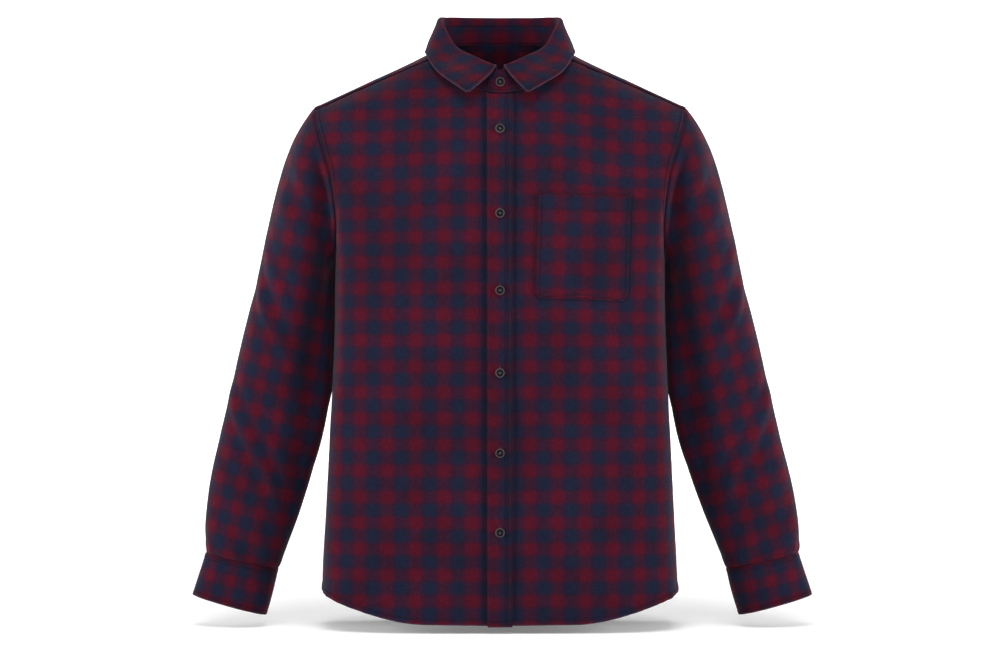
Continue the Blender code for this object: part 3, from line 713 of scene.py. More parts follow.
def line_at(form, edge, distance):
    """The line on a sheet at a distance from one of its edges, with its normals."""
    away = getattr(form, edge)
    data = np.concatenate([form.points, form.normals], axis=2)
    if edge in ("low", "high"):
        away, data = away.T, data.transpose(1, 0, 2)
    if edge in ("right", "high"):
        away, data = away[:, ::-1], data[:, ::-1]
    lines = zip(away, data)
    return np.array([[np.interp(distance, at, axis) for axis in row.T] for at, row in lines])


def stitch_centres(line):
    """Evenly spaced stitches along a line of points with normals: where, which way and up."""
    along = lengths(line[:, :3])
    count = max(1, int(along[-1] / STITCH_PITCH))
    marks = (np.arange(count) + 0.5) * along[-1] / count
    found, ahead, behind = (
        np.stack([np.interp(marks + shift, along, axis) for axis in line.T], 1)
        for shift in (0, BESIDE_STITCH, -BESIDE_STITCH)
    )
    return found[:, :3], unit((ahead - behind)[:, :3]), unit(found[:, 3:])


def sew(runs, form, sewn):
    """Adds the stitches of a sheet's sewn edges to the runs. A row at 0 is a fold, not a row of
    stitches."""
    for edge, rows in sewn:
        runs.extend(stitch_centres(line_at(form, edge, row)) for row in rows if row)


def add_stitches(name, runs, material, length=STITCH_LENGTH, radius=THREAD_RADIUS, sides=4):
    """Many short stitches as one mesh. Each run is where, which way and up for its stitches."""
    where, way, up = (np.concatenate(part) for part in zip(*runs))
    beside = unit(np.cross(up, way))
    up = np.cross(way, beside)
    template = []
    for along, wide, lift in STITCH_RINGS:
        for turn in np.arange(sides) * 2 * math.pi / sides:
            height = (math.sin(turn) * wide + lift) * radius
            template.append((along * length, math.cos(turn) * radius * wide, height))
    template = np.array(template)
    points = where[:, None]
    for part, direction in enumerate((way, beside, up)):
        points = points + template[None, :, part : part + 1] * direction[:, None]
    rings, turns = np.divmod(np.arange((len(STITCH_RINGS) - 1) * sides), sides)
    low, after = rings * sides + turns, rings * sides + (turns + 1) % sides
    faces = np.stack([low, after, after + sides, low + sides], 1)
    quads = (faces[None] + (np.arange(len(where)) * len(template))[:, None, None]).reshape(-1, 4)
    places = np.zeros((len(where) * len(template), 2))
    slot = "flannel_check"
    add_mesh(name, points.reshape(-1, 3), quads, material, slot, Cloth=places)


# The body


def body_row(at):
    """A line across the half body at +X, from its inner to its outer end."""
    row = BodyRow(*through(BODY_ROWS, at, CORNERS_AT))
    inner = np.array([row.inner_x, row.inner_y])
    outer = np.array([row.outer_x, row.outer_y])
    corner = np.array([row.corner_x, row.corner_y])
    leave = inner + row.pull * (corner - inner) * (1, 1 - row.flat)
    plan = bezier(inner, leave, outer + row.pull * (corner - outer), outer, ROW_SAMPLES)
    share = lengths(plan) / lengths(plan)[-1]
    bend = smooth((share - HEM_LEVEL) / (HEM_RISEN - HEM_LEVEL))
    risen = share + (bend - share) * row.ease
    height = row.inner_z + (row.outer_z - row.inner_z) * risen
    return np.column_stack([plan, height])


def body_places(first, last, under=(0.0, 0.0)):
    """Where a panel's rows go in the body's table: a step apart, closer at both ends, with a row
    at each corner of its outline, and past its ends by what lies under other pieces."""
    stops = [c for c in CORNERS_AT if first < c < last]
    fine = np.linspace(first - 1, last + 1, OUTLINE_SAMPLES)
    fine = np.unique(np.concatenate([fine, [first, last]]))
    fine = fine[(fine >= 0) & (fine <= len(BODY_ROWS) - 1)]
    along = lengths(np.array([body_row(at)[ROW_SAMPLES // 2] for at in fine]))
    start = np.interp(first, fine, along) - under[0]
    end = np.interp(last, fine, along) + under[1]
    found = np.interp(start + stepped(end - start, STEP), along, fine)
    for corner in stops:
        found[np.abs(found - corner).argmin()] = corner
    return found


def half_panel(ats, start_x=0.0):
    """Rows of points across the half body at +X with their distances u from the centre."""
    lines = [body_row(at) for at in ats]
    spans = []
    for line in lines:
        along = lengths(line)
        start = float(np.interp(start_x, line[:, 0], along)) if start_x > line[0, 0] else 0.0
        spans.append((start, along[-1]))
    count = count_for(max(end - start for start, end in spans), STEP, PLAIN_MARKS)
    points, us = [], []
    for line, (start, end) in zip(lines, spans):
        marks = start + spread(end - start, count, PLAIN_MARKS)
        points.append(at_lengths(line, marks))
        us.append(line[0, 0] + marks)
    return np.array(points), np.array(us)


def cloth_heights(points, level):
    """Each point's distance along the cloth, up or down its column, from the row nearest a
    level, where it is the point's height."""
    run = run_along(points[..., 1:], 0)
    if points[-1, 0, 2] < points[0, 0, 2]:
        run = -run
    row = int(np.abs(points[:, 0, 2] - level).argmin())
    return run - run[row] + points[row, :, 2]


# Creases: start and end on the cloth, width and height
FRONT_CREASES = (
    (-186, -255, -120, -330, 20, -2.6), (-170, -285, -130, -352, 13, 1.6),
    (-176, -462, -62, -470, 13, -1.8), (-168, -440, -80, -446, 12, 1.2),
    (-150, -330, -120, -380, 18, -1.6), (72, -460, 150, -468, 12, -1.7),
    (80, -440, 160, -446, 12, 1.2), (24, -440, 60, -690, 16, -1.9),
    (66, -470, 92, -700, 15, 1.2), (190, -300, 132, -356, 17, -1.6),
    (196, -262, 150, -318, 14, 1.4), (-40, -540, -66, -700, 17, 1.3),
    (-90, -560, -112, -690, 18, -1.4), (-150, -540, -170, -670, 18, 1.4),
    (140, -560, 166, -672, 18, 1.3), (-190, -400, -202, -560, 16, -1.3),
    (188, -420, 200, -580, 16, -1.3), (150, -110, 120, -190, 18, -1.3),
    (-150, -112, -124, -196, 18, -1.3), (40, -118, 100, -170, 20, 1.0),
    (-36, -120, -92, -176, 20, 1.0),
)
BACK_CREASES = (
    (-196, -230, -130, -300, 20, -2.2), (196, -240, 126, -312, 21, -2.4),
    (-180, -262, -110, -340, 14, 1.4), (182, -268, 118, -350, 15, 1.5),
    (-120, -455, -20, -466, 14, -1.8), (30, -470, 150, -458, 14, -1.7),
    (-60, -160, -78, -420, 22, 1.2), (64, -170, 70, -440, 22, 1.3),
    (0, -300, -8, -640, 26, -1.4), (-110, -520, -130, -700, 18, 1.5),
    (100, -540, 128, -700, 18, 1.5), (-170, -500, -186, -660, 18, -1.5),
    (168, -510, 188, -660, 18, -1.4), (-30, -560, -46, -706, 16, 1.1),
    (40, -580, 54, -712, 16, -1.1),
)
# On the sleeves u runs round the arm from its outer line, and v down from the armhole
SLEEVE_CREASES = (
    (170, 40, 30, 90, 15, -2.4), (168, 66, 50, 120, 13, 2.0), (150, 20, 80, 60, 10, 1.3),
    (165, 120, 60, 190, 14, -2.0), (150, 205, 20, 214, 13, -2.6), (156, 226, 30, 238, 13, 2.2),
    (120, 178, 20, 182, 11, 1.3), (60, 250, -60, 244, 14, -1.5), (160, 300, 60, 342, 16, -2.0),
    (150, 330, 40, 372, 14, 1.8), (130, 356, 10, 362, 12, -2.4), (130, 374, 0, 384, 13, 2.4),
    (110, 398, 30, 404, 10, -1.4), (120, 430, 20, 470, 15, 1.5), (100, 470, 30, 520, 13, -1.6),
    (70, 500, 20, 570, 11, 1.4), (110, 520, 80, 585, 10, -1.4), (-20, 120, -60, 240, 18, 1.4),
    (-30, 320, -70, 440, 18, 1.4), (-60, 380, -150, 372, 13, -2.2), (-60, 398, -160, 396, 13, 2.0),
    (-150, 60, -60, 120, 14, -2.0), (-160, 90, -70, 160, 13, 1.7), (-150, 300, -70, 340, 14, -1.6),
    (-80, 480, -40, 580, 12, 1.4), (-110, 470, -90, 580, 12, -1.5),
)
FRONT_FOLDS, BACK_FOLDS, SLEEVE_FOLDS = 1.6, 1.4, 1.3
FRONT_EDGE_X = 10.0
GROOVE_X, GROOVE_WIDTH, GROOVE_DEPTH = 17.6, 3.0, 1.8
WAIST = -490.0
# Levels on the front and the cloth's own heights there: it leans back towards the shoulder
FRONT_LEVELS = (-760, -130, -101, -73, -47, -20, 12)
FRONT_HEIGHTS = (-761.5, -131.5, -100, -68, -35, 0, 44)
SIDE_BEND = 150.0
SIDE_CALM = 34.0


def front_waves(x, z):
    """The creases of both fronts at a place seen from the front."""
    return FRONT_FOLDS * creased(x, z, FRONT_CREASES) + soft_waves(x, z, 11)


def front_heights(z):
    """The cloth's own heights at levels on the front."""
    return np.interp(z, FRONT_LEVELS, FRONT_HEIGHTS)


def front_across(points):
    """Distances from the centre across the half front at +X: the check stays upright on its flat
    part and follows the cloth round the side."""
    x = points[..., 0]
    run = run_along(points[..., :2], 1)
    at_bend = [np.interp(SIDE_BEND, row_x, row_run) for row_x, row_run in zip(x, run)]
    return np.where(x < SIDE_BEND, x, SIDE_BEND + run - np.array(at_bend)[:, None])


def front_droop(side, x, z):
    """How far the rows of the check hang below level towards the armhole, which is more on the
    wearer's left."""
    if side < 0:
        return 4.0 * smooth((x - 60) / 110) * smooth((z + 260) / 60)
    outward = 5.0 * smooth((z + 370) / 50) + 8.5 * smooth((z + 190) / 50)
    return 6.0 * smooth((z + 270) / 130) + smooth((x - 50) / 130) * outward


def make_front(side):
    """The sheet of one front, under the yoke at its top and folded over at its other edges."""
    ats = body_places(0, BODY_AT["front yoke seam"], (0, UNDER))
    points = half_panel(ats, FRONT_EDGE_X)[0]
    x, z = points[..., 0], points[..., 2]
    form = sheet(points, front_across(points), front_heights(z) + front_droop(side, x, z))
    if side < 0:
        form = mirrored(form)
    relief = hem_relief(form, "low", 21 + side, 25 + side)
    relief = relief + fold_relief(form, "right", 31 + side)
    relief = relief + under_relief(form, "high", 41 + side)
    calm = smooth(form.right / SIDE_CALM)
    relief = relief + calm * front_waves(form.points[..., 0], form.points[..., 2])
    return raised(form, relief - GROOVE_DEPTH * bump(x - GROOVE_X, GROOVE_WIDTH))


def make_yoke():
    """The +X half of the yoke, and the rows from which its halves are joined."""
    ats = body_places(BODY_AT["front yoke seam"], BODY_AT["back yoke seam"])
    points, us = half_panel(ats)
    form = sheet(points, us, cloth_heights(points, 0))
    relief = 0.5 * soft_waves(us, form.low, 61)
    for seed, edge in ((51, "low"), (54, "high"), (57, "right")):
        relief = relief + fold_relief(form, edge, seed)
    return raised(form, relief), int(np.abs(ats - BODY_AT["back neck"]).argmin()), len(ats)


def make_back():
    """The sheet of the back, from side seam to side seam, under the yoke at its top."""
    ats = body_places(BODY_AT["back yoke seam"], BODY_AT["back hem"], (UNDER, 0))
    points, us = half_panel(ats)
    half = sheet(points, us, cloth_heights(points, WAIST))
    relief = under_relief(half, "low", 71) + hem_relief(half, "high", 74, 76)
    relief = relief + fold_relief(half, "right", 77)
    halves = []
    for side in (1, -1):
        x, z = side * points[..., 0], points[..., 2]
        waves = BACK_FOLDS * creased(x, z, BACK_CREASES) + soft_waves(x, z, 81)
        height = relief + smooth(half.right / SIDE_CALM) * waves
        halves.append((half.points + half.normals * height[..., None]) * (side, 1, 1))
    whole = np.concatenate([halves[1][:, :0:-1], halves[0]], axis=1)
    whole[:, points.shape[1] - 1, 0] = 0.0
    over = np.concatenate([-half.u[:, :0:-1], half.u], axis=1)
    return sheet(whole, over, np.concatenate([half.v[:, :0:-1], half.v], axis=1))


body_runs = []
for side, name in ((1, "front_left"), (-1, "front_right")):
    sewn = (("low", HEM_ROWS), ("right", SEAM_ROWS))
    piece_of(name, make_front(side), turned=side < 0, rim_highlight=("low",), sewn=sewn, runs=body_runs)
sewn = [(edge, SEAM_ROWS) for edge in ("low", "high", "right")]
piece_of_halves("yoke", *make_yoke(), sewn, body_runs)
sewn = (("high", HEM_ROWS), ("left", SEAM_ROWS), ("right", SEAM_ROWS))
piece_of("back", make_back(), rim_highlight=("high",), sewn=sewn, runs=body_runs)


# What is laid on the front

MAP_STEP = 3.0
DEPTH_XS = np.arange(-228, 229, MAP_STEP)
DEPTH_ZS = np.arange(-726, 10, MAP_STEP)


def make_depth_map():
    """The depth of the front without its creases, at each of DEPTH_ZS and DEPTH_XS."""
    rows = [body_row(at) for at in np.linspace(0, BODY_AT["shoulder top"], 120)]
    half = DEPTH_XS[DEPTH_XS >= 0]
    found = np.empty((len(DEPTH_ZS), len(half)))
    for column, x in enumerate(half):
        at_x = np.array([[np.interp(x, row[:, 0], axis) for axis in row.T[1:]] for row in rows])
        found[:, column] = np.interp(DEPTH_ZS, at_x[:, 1], at_x[:, 0])
    return np.hstack([found[:, :0:-1], found])


DEPTH_MAP = make_depth_map()


def front_depth(x, z):
    """The depth of the plain front at places seen from the front."""
    i = np.clip((z - DEPTH_ZS[0]) / MAP_STEP, 0, len(DEPTH_ZS) - 1.001)
    j = np.clip((x - DEPTH_XS[0]) / MAP_STEP, 0, len(DEPTH_XS) - 1.001)
    low_i, low_j = i.astype(int), j.astype(int)
    s, t = i - low_i, j - low_j
    first, second = (
        DEPTH_MAP[row, low_j] * (1 - t) + DEPTH_MAP[row, low_j + 1] * t for row in (low_i, low_i + 1)
    )
    return first * (1 - s) + second * s


def on_front(x, z, out):
    """Points over the front at x and z, moved out by out along its normal."""
    x, z = np.broadcast_arrays(np.asarray(x, float), np.asarray(z, float))
    near = MAP_STEP
    tilt_x = (front_depth(x + near, z) - front_depth(x - near, z)) / (2 * near)
    tilt_z = (front_depth(x, z + near) - front_depth(x, z - near)) / (2 * near)
    normals = unit(np.stack([tilt_x, -np.ones_like(x), tilt_z], -1))
    return np.stack([x, front_depth(x, z), z], -1) + normals * np.asarray(out)[..., None]


PLACKET_OUT = 1.75
PLACKET_ROWS = (22.2, 25.2)
PLACKET_ROLL, PLACKET_ROLL_TO, PLACKET_ROLL_WIDTH = 1.4, 5.5, 5
BAND_COLUMNS = 30


def make_bands():
    """The placket with its stitched edges, and the plain button band under it."""
    low, top = BODY["front hem"][2], BODY["front neck"][2] - BAND_DROP
    made = []
    for width, out, drop in (
        (PLACKET_WIDTH, PLACKET_OUT, BAND_DROP),
        (BUTTON_BAND_WIDTH, -CLOTH - SEAM_GAP, 0.0),
    ):
        zs = low - drop + stepped(top - low + drop)
        x, z = np.meshgrid(spread(width, BAND_COLUMNS) - width / 2, zs)
        made.append(sheet(on_front(x, z, out + front_waves(x * 0.4, z)), x, front_heights(z)))
    form = made[0]
    relief = PLACKET_ROLL * smooth((PLACKET_ROLL_TO - form.left) / PLACKET_ROLL_WIDTH)
    relief = relief + fold_relief(form, "low", 91, rows=HEM_ROWS)
    for row in PLACKET_ROWS:
        relief = relief - STITCH_DEPTH * bump(form.left - row, STITCH_WIDTH)
    relief = relief + pucker(form, "right", 93) + 0.5 * pucker(form, "left", 95)
    return raised(form, relief), made[1]


POCKET_OUT = 1.6
POCKET_HEM = 22.0
POCKET_HEM_ROW = POCKET_HEM - 1.5
POCKET_RISE = 0.4
POCKET_SAG, POCKET_SAG_REACH = 0.8, 5


def make_pocket():
    """The patch pocket, folded and stitched round its edges, with a hem at its mouth."""
    width, middle = POCKET["outer"] - POCKET["inner"], (POCKET["outer"] + POCKET["inner"]) / 2
    height, corner = POCKET["top"] - POCKET["bottom"], POCKET["corner"]
    level = POCKET["bottom"] + height / 2
    rises = stepped(height)
    drop = np.clip(corner - rises, 0, None)
    cut = corner - np.sqrt(np.clip(corner**2 - drop**2, 0, None))
    columns = count_for(width, FINE_STEP)
    xs = np.array([spread(width - 2 * c, columns) - width / 2 + c for c in cut])
    zs = np.broadcast_to(rises[:, None] - height / 2, xs.shape)
    at_x = middle + xs * math.cos(POCKET_TILT) + zs * math.sin(POCKET_TILT)
    at_z = level - xs * math.sin(POCKET_TILT) + zs * math.cos(POCKET_TILT)
    form = sheet(on_front(at_x, at_z, POCKET_OUT + front_waves(at_x, at_z)), xs, zs)
    beside = np.clip(np.abs(xs) - width / 2 + corner, 0, None)
    below = np.clip(corner - rises[:, None], 0, None)
    at_side = np.minimum(width / 2 - np.abs(xs), rises[:, None])
    from_edge = np.where((beside > 0) & (below > 0), corner - np.hypot(beside, below), at_side)
    relief = POCKET_RISE * smooth((FOLD_WIDTH + FOLD_SLOPE / 2 - from_edge) / FOLD_SLOPE)
    relief = relief + POCKET_RISE * smooth((POCKET_HEM + FOLD_SLOPE / 2 - form.high) / FOLD_SLOPE)
    for row in SEAM_ROWS:
        relief = relief - STITCH_DEPTH * bump(from_edge - row, STITCH_WIDTH)
    relief = relief - STITCH_DEPTH * bump(form.high - POCKET_HEM_ROW, STITCH_WIDTH)
    for seed, edge in ((101, "left"), (103, "right"), (105, "low")):
        relief = relief + 0.7 * pucker(form, edge, seed)
    sag = POCKET_SAG * bump(form.high, POCKET_SAG_REACH) * noise(form.left, 0, 30, 107)
    return raised(form, relief + sag)


placket, button_band = make_bands()
sewn = (("left", PLACKET_ROWS), ("low", HEM_ROWS), ("right", (0.0,)))
piece_of("placket", placket, rim_highlight=("low",), sewn=sewn, runs=body_runs)
piece_of("button_band", button_band)
sewn = [(edge, (0.0, *SEAM_ROWS)) for edge in ("left", "right", "low")]
sewn.append(("high", (0.0, POCKET_HEM_ROW)))
piece_of("pocket", make_pocket(), sewn=sewn, runs=body_runs)


# The sleeves


def armhole_frames():
    """For turns from 0 at the shoulder by the front, under the arm at 180 and the back to 360:
    the armhole's point, the way into the body's panel and the way out of its surface."""
    tables = []
    for last in ("front underarm", "back underarm"):
        ats = np.linspace(BODY_AT["shoulder top"], BODY_AT[last], 120)
        rows = np.array([body_row(at) for at in ats])
        ends = rows[:, -1]
        inward = unit(rows[:, -6] - ends)
        outward = unit(np.cross(-inward, np.gradient(ends, ats, axis=0)))
        shares = lengths(ends) / lengths(ends)[-1]
        tables.append((shares, np.hstack([ends, inward, outward])))

    def at_turn(turn):
        turn = turn % 360
        shares, values = tables[0] if turn <= 180 else tables[1]
        share = (turn if turn <= 180 else 360 - turn) / 180
        found = np.array([np.interp(share, shares, axis) for axis in values.T])
        return found[:3], unit(found[3:6]), unit(found[6:])

    return at_turn


ARMHOLE = armhole_frames()


def ring_point(row, turn):
    """A point of a sleeve's or a cuff's ring at a turn in degrees, as in the armhole."""
    ring = Ring(*row)
    outer = np.array([ring.outer_x, 0.0, ring.outer_z])
    inner = np.array([ring.inner_x, 0.0, ring.inner_z])
    cos, sin = math.cos(math.radians(turn)), math.sin(math.radians(turn))
    power = 2 / SLEEVE_ROUNDNESS
    side = math.copysign(abs(cos) ** power, cos)
    depth = abs(sin) ** power * (ring.front_y if sin > 0 else ring.back_y)
    return (outer + inner) / 2 + side * (outer - inner) / 2 + np.array([0, depth, 0])


SLEEVE_START = 3.5
CURVE_SAMPLES, LINE_SAMPLES = 100, 220
# Where a sleeve starts under the body's edge: how far in, and shares of the depth there
TUCKED = ((UNDER, 1.0), (1.5, 1.0), (-1.0, 0.8))


def sleeve_line(turn):
    """The line down the sleeve at a turn, from under the body's edge to the cuff."""
    hole, inward, outward = ARMHOLE(turn)
    stops = np.array([hole, *(ring_point(row, turn) for row in SLEEVE.values())])
    curve = np.array([through(stops, at) for at in np.linspace(0, len(stops) - 1, CURVE_SAMPLES)])
    line = at_lengths(curve, np.linspace(SLEEVE_START, lengths(curve)[-1], LINE_SAMPLES))
    tucked = [hole + inward * far - outward * UNDER_DEPTH * share for far, share in TUCKED]
    return np.vstack([tucked, line])


def hung(points, side):
    """Points of the +X sleeve or cuff where they are on the given side of the body."""
    points = np.array(points, float)
    low = smooth((points[..., 2] - SWING_FROM) / (SWING_TO - SWING_FROM))
    points[..., 0] += side * SWING * low
    return points * (side, 1, 1)


GATHERS, GATHER_SIZE = 34.0, 8.5
BLOUSING, BLOUSING_ABOVE, BLOUSING_WIDTH = 0.8, 9, 6
SLEEVE_SEAM_DEPTH, SLEEVE_SEAM_TO, SLEEVE_SEAM_SLOPE = 1.2, 6, 5
CUFF_SLOPE, CUFF_DEPTH, CUFF_CALM = 2.2, 0.3, 14.0
SLEEVE_GIRTH = 420.0
# Where the sleeve is pressed against the side of the body: how fully at some levels
TOUCH_LEVELS = (-520, -491, -460, -445, -432, -420, -268, -252)
TOUCH_SHARES = (0, 0.17, 0.37, 0.5, 0.8, 1, 1, 0)
SIDE_LEVELS = (-625, -496, -372, -262)
SIDE_XS = (224.5, 218, 212, 210)
TOUCH_ROOM = 1.2
# The deep fold down the front of the sleeve beside the body
VALLEY_LEVELS = (-625, -600, -550, -500, -450, -400, -350, -300, -200, -150, -105)
VALLEY_XS = (280, 274, 262, 250, 243, 241, 235, 228, 221, 221, 224)
VALLEY_WIDTHS = (10, 12, 14, 16, 18, 19, 18, 16, 14, 12, 10)
VALLEY_DEPTHS = (0, 2, 6, 10, 14, 17, 17, 17, 18, 12, 0)


def against_body(points, run):
    """The sleeve's points where it is pressed against the body, with the deep fold beside."""
    x, y, level = np.moveaxis(points, -1, 0)
    side = np.interp(level, SIDE_LEVELS, SIDE_XS) + TOUCH_ROOM
    share = np.interp(level, TOUCH_LEVELS, TOUCH_SHARES)
    share = share * smooth((y + 32) / 24) * smooth((64 - y) / 30) * smooth((side + 34 - x) / 22)
    x = x - share * np.maximum(x - side, 0)
    width = np.interp(level, VALLEY_LEVELS, VALLEY_WIDTHS)
    valley = np.interp(level, VALLEY_LEVELS, VALLEY_DEPTHS)
    valley = valley * bump(x - np.interp(level, VALLEY_LEVELS, VALLEY_XS), width)
    return np.stack([x, y + valley * smooth(-y / 45) * smooth((run - 4) / 12), level], -1)


def check_places(name, points, side, middle):
    """Places on the cloth of a sleeve or a cuff: its check leans with the arm and is evenly
    spaced where it faces forward, which is about a middle column."""
    placed = hung(points, side) * (side, 1, 1)
    lean, row_lean = (math.radians(angle) for angle in LEANS[name])
    across = np.array([math.cos(lean), 0, math.sin(lean)])
    along = np.array([-math.sin(row_lean), 0, math.cos(row_lean)])
    steps = np.diff(placed, axis=1)
    down = steps @ np.array([math.sin(lean), 0, -math.cos(lean)])
    level = np.sqrt(np.maximum((steps**2).sum(-1) - down**2, 0))
    level = np.maximum(np.abs(steps @ across), LEAST_ACROSS * level)
    run = np.hstack([np.zeros((len(points), 1)), np.cumsum(level, axis=1)])
    start = (placed @ across)[:, middle : middle + 1]
    return start - run + run[:, middle : middle + 1], placed @ along


def make_sleeve(name, side, seed):
    """The sheet of one sleeve, sewn along the underarm."""
    turns = 180 + 360 * stepped(SLEEVE_GIRTH, STEP, PLAIN_MARKS, PLAIN_MARKS) / SLEEVE_GIRTH
    lines = [sleeve_line(turn) for turn in turns]
    spans = [lengths(line)[-1] + UNDER for line in lines]
    count = count_for(max(spans), STEP)
    grid = [at_lengths(line, spread(span, count)) for line, span in zip(lines, spans)]
    points = np.array(grid).transpose(1, 0, 2)
    form = sheet(points, *check_places(name, points, side, int(np.abs(turns - 450).argmin())))
    outer = int(np.abs(turns - 360).argmin())
    around = form.left - form.left[:, outer : outer + 1]
    run = form.low - UNDER
    relief = pucker(form._replace(low=np.abs(run)), "low", seed, 9.0)
    relief = relief + under_relief(form, "high", seed + 2, CUFF_SLOPE, CUFF_DEPTH)
    relief = relief * (0.3 + 0.7 * smooth((form.high - UNDER) / 5))
    calm = smooth(np.minimum(form.left, form.right) / 40) * (0.3 + 0.7 * smooth(np.abs(around) / 50))
    calm = calm * smooth((form.high - UNDER) / CUFF_CALM)
    folds = SLEEVE_FOLDS * creased(around, run, SLEEVE_CREASES)
    relief = relief + calm * smooth((run - 4) / 12) * folds
    relief = relief + calm * smooth((run - 2) / 12) * soft_waves(around, run, seed + 4)
    gathers = smooth((GATHERS + UNDER - form.high) / GATHERS) * smooth((form.high - UNDER) / 5)
    relief = relief + gathers * noise(around, run * 0.12, GATHER_SIZE, seed + 7)
    relief = relief - SLEEVE_SEAM_DEPTH * smooth((SLEEVE_SEAM_TO - form.left) / SLEEVE_SEAM_SLOPE)
    blousing = BLOUSING * bump(form.high - UNDER - BLOUSING_ABOVE, BLOUSING_WIDTH)
    form = raised(form, relief + blousing)
    form = raised(form._replace(points=against_body(form.points, run)), 0.0 * run)
    return form._replace(points=hung(form.points, side), normals=form.normals * (side, 1, 1))


def cuff_point(turn, share, out=0.0):
    """A point of the cuff at a turn, at a share of the way from its seam to its edge, with the
    lap that lies over its other end lifted off it."""
    at = share * (len(CUFF) - 1)
    point = through([ring_point(row, turn) for row in CUFF.values()], at)
    centres = [(ring_point(row, 0) + ring_point(row, 180)) / 2 for row in CUFF.values()]
    outward = point - through(centres, at)
    lift_from = CUFF_LAP_STARTS + 360 - CUFF_LIFT_BEFORE
    lifted = np.clip((turn - lift_from) / CUFF_LIFT_LENGTH, 0, 1)
    lift = lifted * (DOUBLE_CLOTH + 2 * LAID_ON_GAP)
    return point + outward / np.linalg.norm(outward) * (lift + out)


CUFF_LENGTH, CUFF_GIRTH = 57.0, 250.0
CUFF_ROWS = (1.6, 5.2)
CUFF_FOLD, CUFF_RISE = 5.8, 0.4
ALL_EDGES = ("low", "high", "left", "right")


def make_cuff(name, side, seed):
    """The sheet of one cuff, stitched round all its edges."""
    shares = stepped(CUFF_LENGTH) / CUFF_LENGTH
    turns = CUFF_LAP_STARTS + stepped(CUFF_GIRTH) / CUFF_GIRTH * (360 + CUFF_LAP)
    points = np.array([[cuff_point(turn, share) for turn in turns] for share in shares])
    form = sheet(points, *check_places(name, points, side, int(np.abs(turns - 450).argmin())))
    relief = 0.5 * soft_waves(form.left, form.low, seed + 5)
    for number, edge in enumerate(ALL_EDGES):
        relief = relief + fold_relief(form, edge, seed + number, CUFF_FOLD, CUFF_RISE, CUFF_ROWS)
    form = raised(form, relief)
    return form._replace(points=hung(form.points, side), normals=form.normals * (side, 1, 1))


STRIP_ROW = 2.0


def make_sleeve_placket(sleeve, side):
    """The strip over the slit above the cuff, at the back, on the sleeve's own surface."""
    count = sleeve.points.shape[1]
    start, end = (round((turn - 180) / 360 * (count - 1)) for turn in SLEEVE_PLACKET_TURNS)
    from_cuff = sleeve.high[:, 0] - UNDER
    rows = slice(*(int(np.abs(from_cuff - at).argmin()) for at in (SLEEVE_PLACKET_LENGTH, 1.0)))
    points, normals, u, v = (part[rows, start : end + 1] for part in sleeve[:4])
    form = sheet(points + normals * (CLOTH + SEAM_GAP), u, v, side < 0)
    relief = -STITCH_DEPTH * bump(form.left - STRIP_ROW, STITCH_WIDTH)
    return raised(form, relief - STITCH_DEPTH * bump(form.right - STRIP_ROW, STITCH_WIDTH))


sleeve_runs = {}
for name, side, seed in (("left", 1, 111), ("right", -1, 131)):
    runs = sleeve_runs[name] = []
    sleeve_name, cuff_name = "sleeve_" + name, "cuff_" + name
    sleeve = make_sleeve(sleeve_name, side, seed)
    piece_of(sleeve_name, sleeve, turned=side < 0)
    piece_of(
        cuff_name,
        make_cuff(cuff_name, side, seed + 50),
        thickness=DOUBLE_CLOTH,
        turned=side < 0,
        rim_highlight=ALL_EDGES[1:],
        sewn=[(edge, CUFF_ROWS) for edge in ALL_EDGES],
        runs=runs,
    )
    strip = make_sleeve_placket(sleeve, side)
    piece_of("sleeve_placket_" + name, strip, sleeve_name, turned=side < 0)
    sew(runs, strip, [(edge, (STRIP_ROW,)) for edge in ("left", "right", "low")])


# The collar and its stand

# The distance between two places round the neck that give the direction there
NEAR = 0.02


def collar_station(at):
    """The collar's seam, fold and edge points and its stand's share, at a place from -1 over the
    centre front on the wearer's right, by 0 behind the neck, to 1 on the wearer's left. Past the
    centre front it goes on across it."""
    key = (1 - abs(at)) * (len(COLLAR_ROWS) - 1)
    row = Station(*through(COLLAR_ROWS, abs(key)))
    side = math.copysign(1, at) * (1 if key >= 0 else -1)
    seam = np.array([row.seam_x * side, row.seam_y, row.seam_z])
    fold = np.array([row.fold_x * side, row.fold_y, row.fold_z])
    edge = np.array([row.edge_x * side, row.edge_y, row.edge_z])
    edge[0] -= COLLAR_SHIFT * max(0.0, abs(at) - COLLAR_SHIFT_FROM) / (1 - COLLAR_SHIFT_FROM)
    return seam, fold, edge, row.stand_share


def stand_top(at):
    """Where the stand ends and the collar is sewn to it."""
    seam, fold, edge, share = collar_station(at)
    return seam + (fold - seam) * share


def outward_at(at):
    """The level direction out of the neck opening."""
    along = (collar_station(at + NEAR)[0] - collar_station(at - NEAR)[0])[:2]
    return np.array([-along[1], along[0], 0.0]) / np.linalg.norm(along)


def lap_lift(at):
    """How far the lap at the wearer's left is lifted off the stand's other end."""
    return STAND_LAP_LIFT * float(np.clip((at - STAND_LIFT_FROM) / STAND_LIFT_LENGTH, 0, 1))


def stand_point(at, share, out=0.0):
    """A point of the stand at a share of its height, moved out by out."""
    foot = collar_station(at)[0] + np.array([0, 0, STAND_ABOVE_NECKLINE])
    return foot + (stand_top(at) - foot) * share + outward_at(at) * (lap_lift(at) + out)


HALF_NECK = lengths(np.array([collar_station(at)[0] for at in np.linspace(0, 1, 60)]))[-1]
STAND_HEIGHT, STAND_ROW = 32.0, 3.2
STAND_FOLD, STAND_RISE = 4.5, 0.25
STAND_EDGES = ("low", "left", "right")


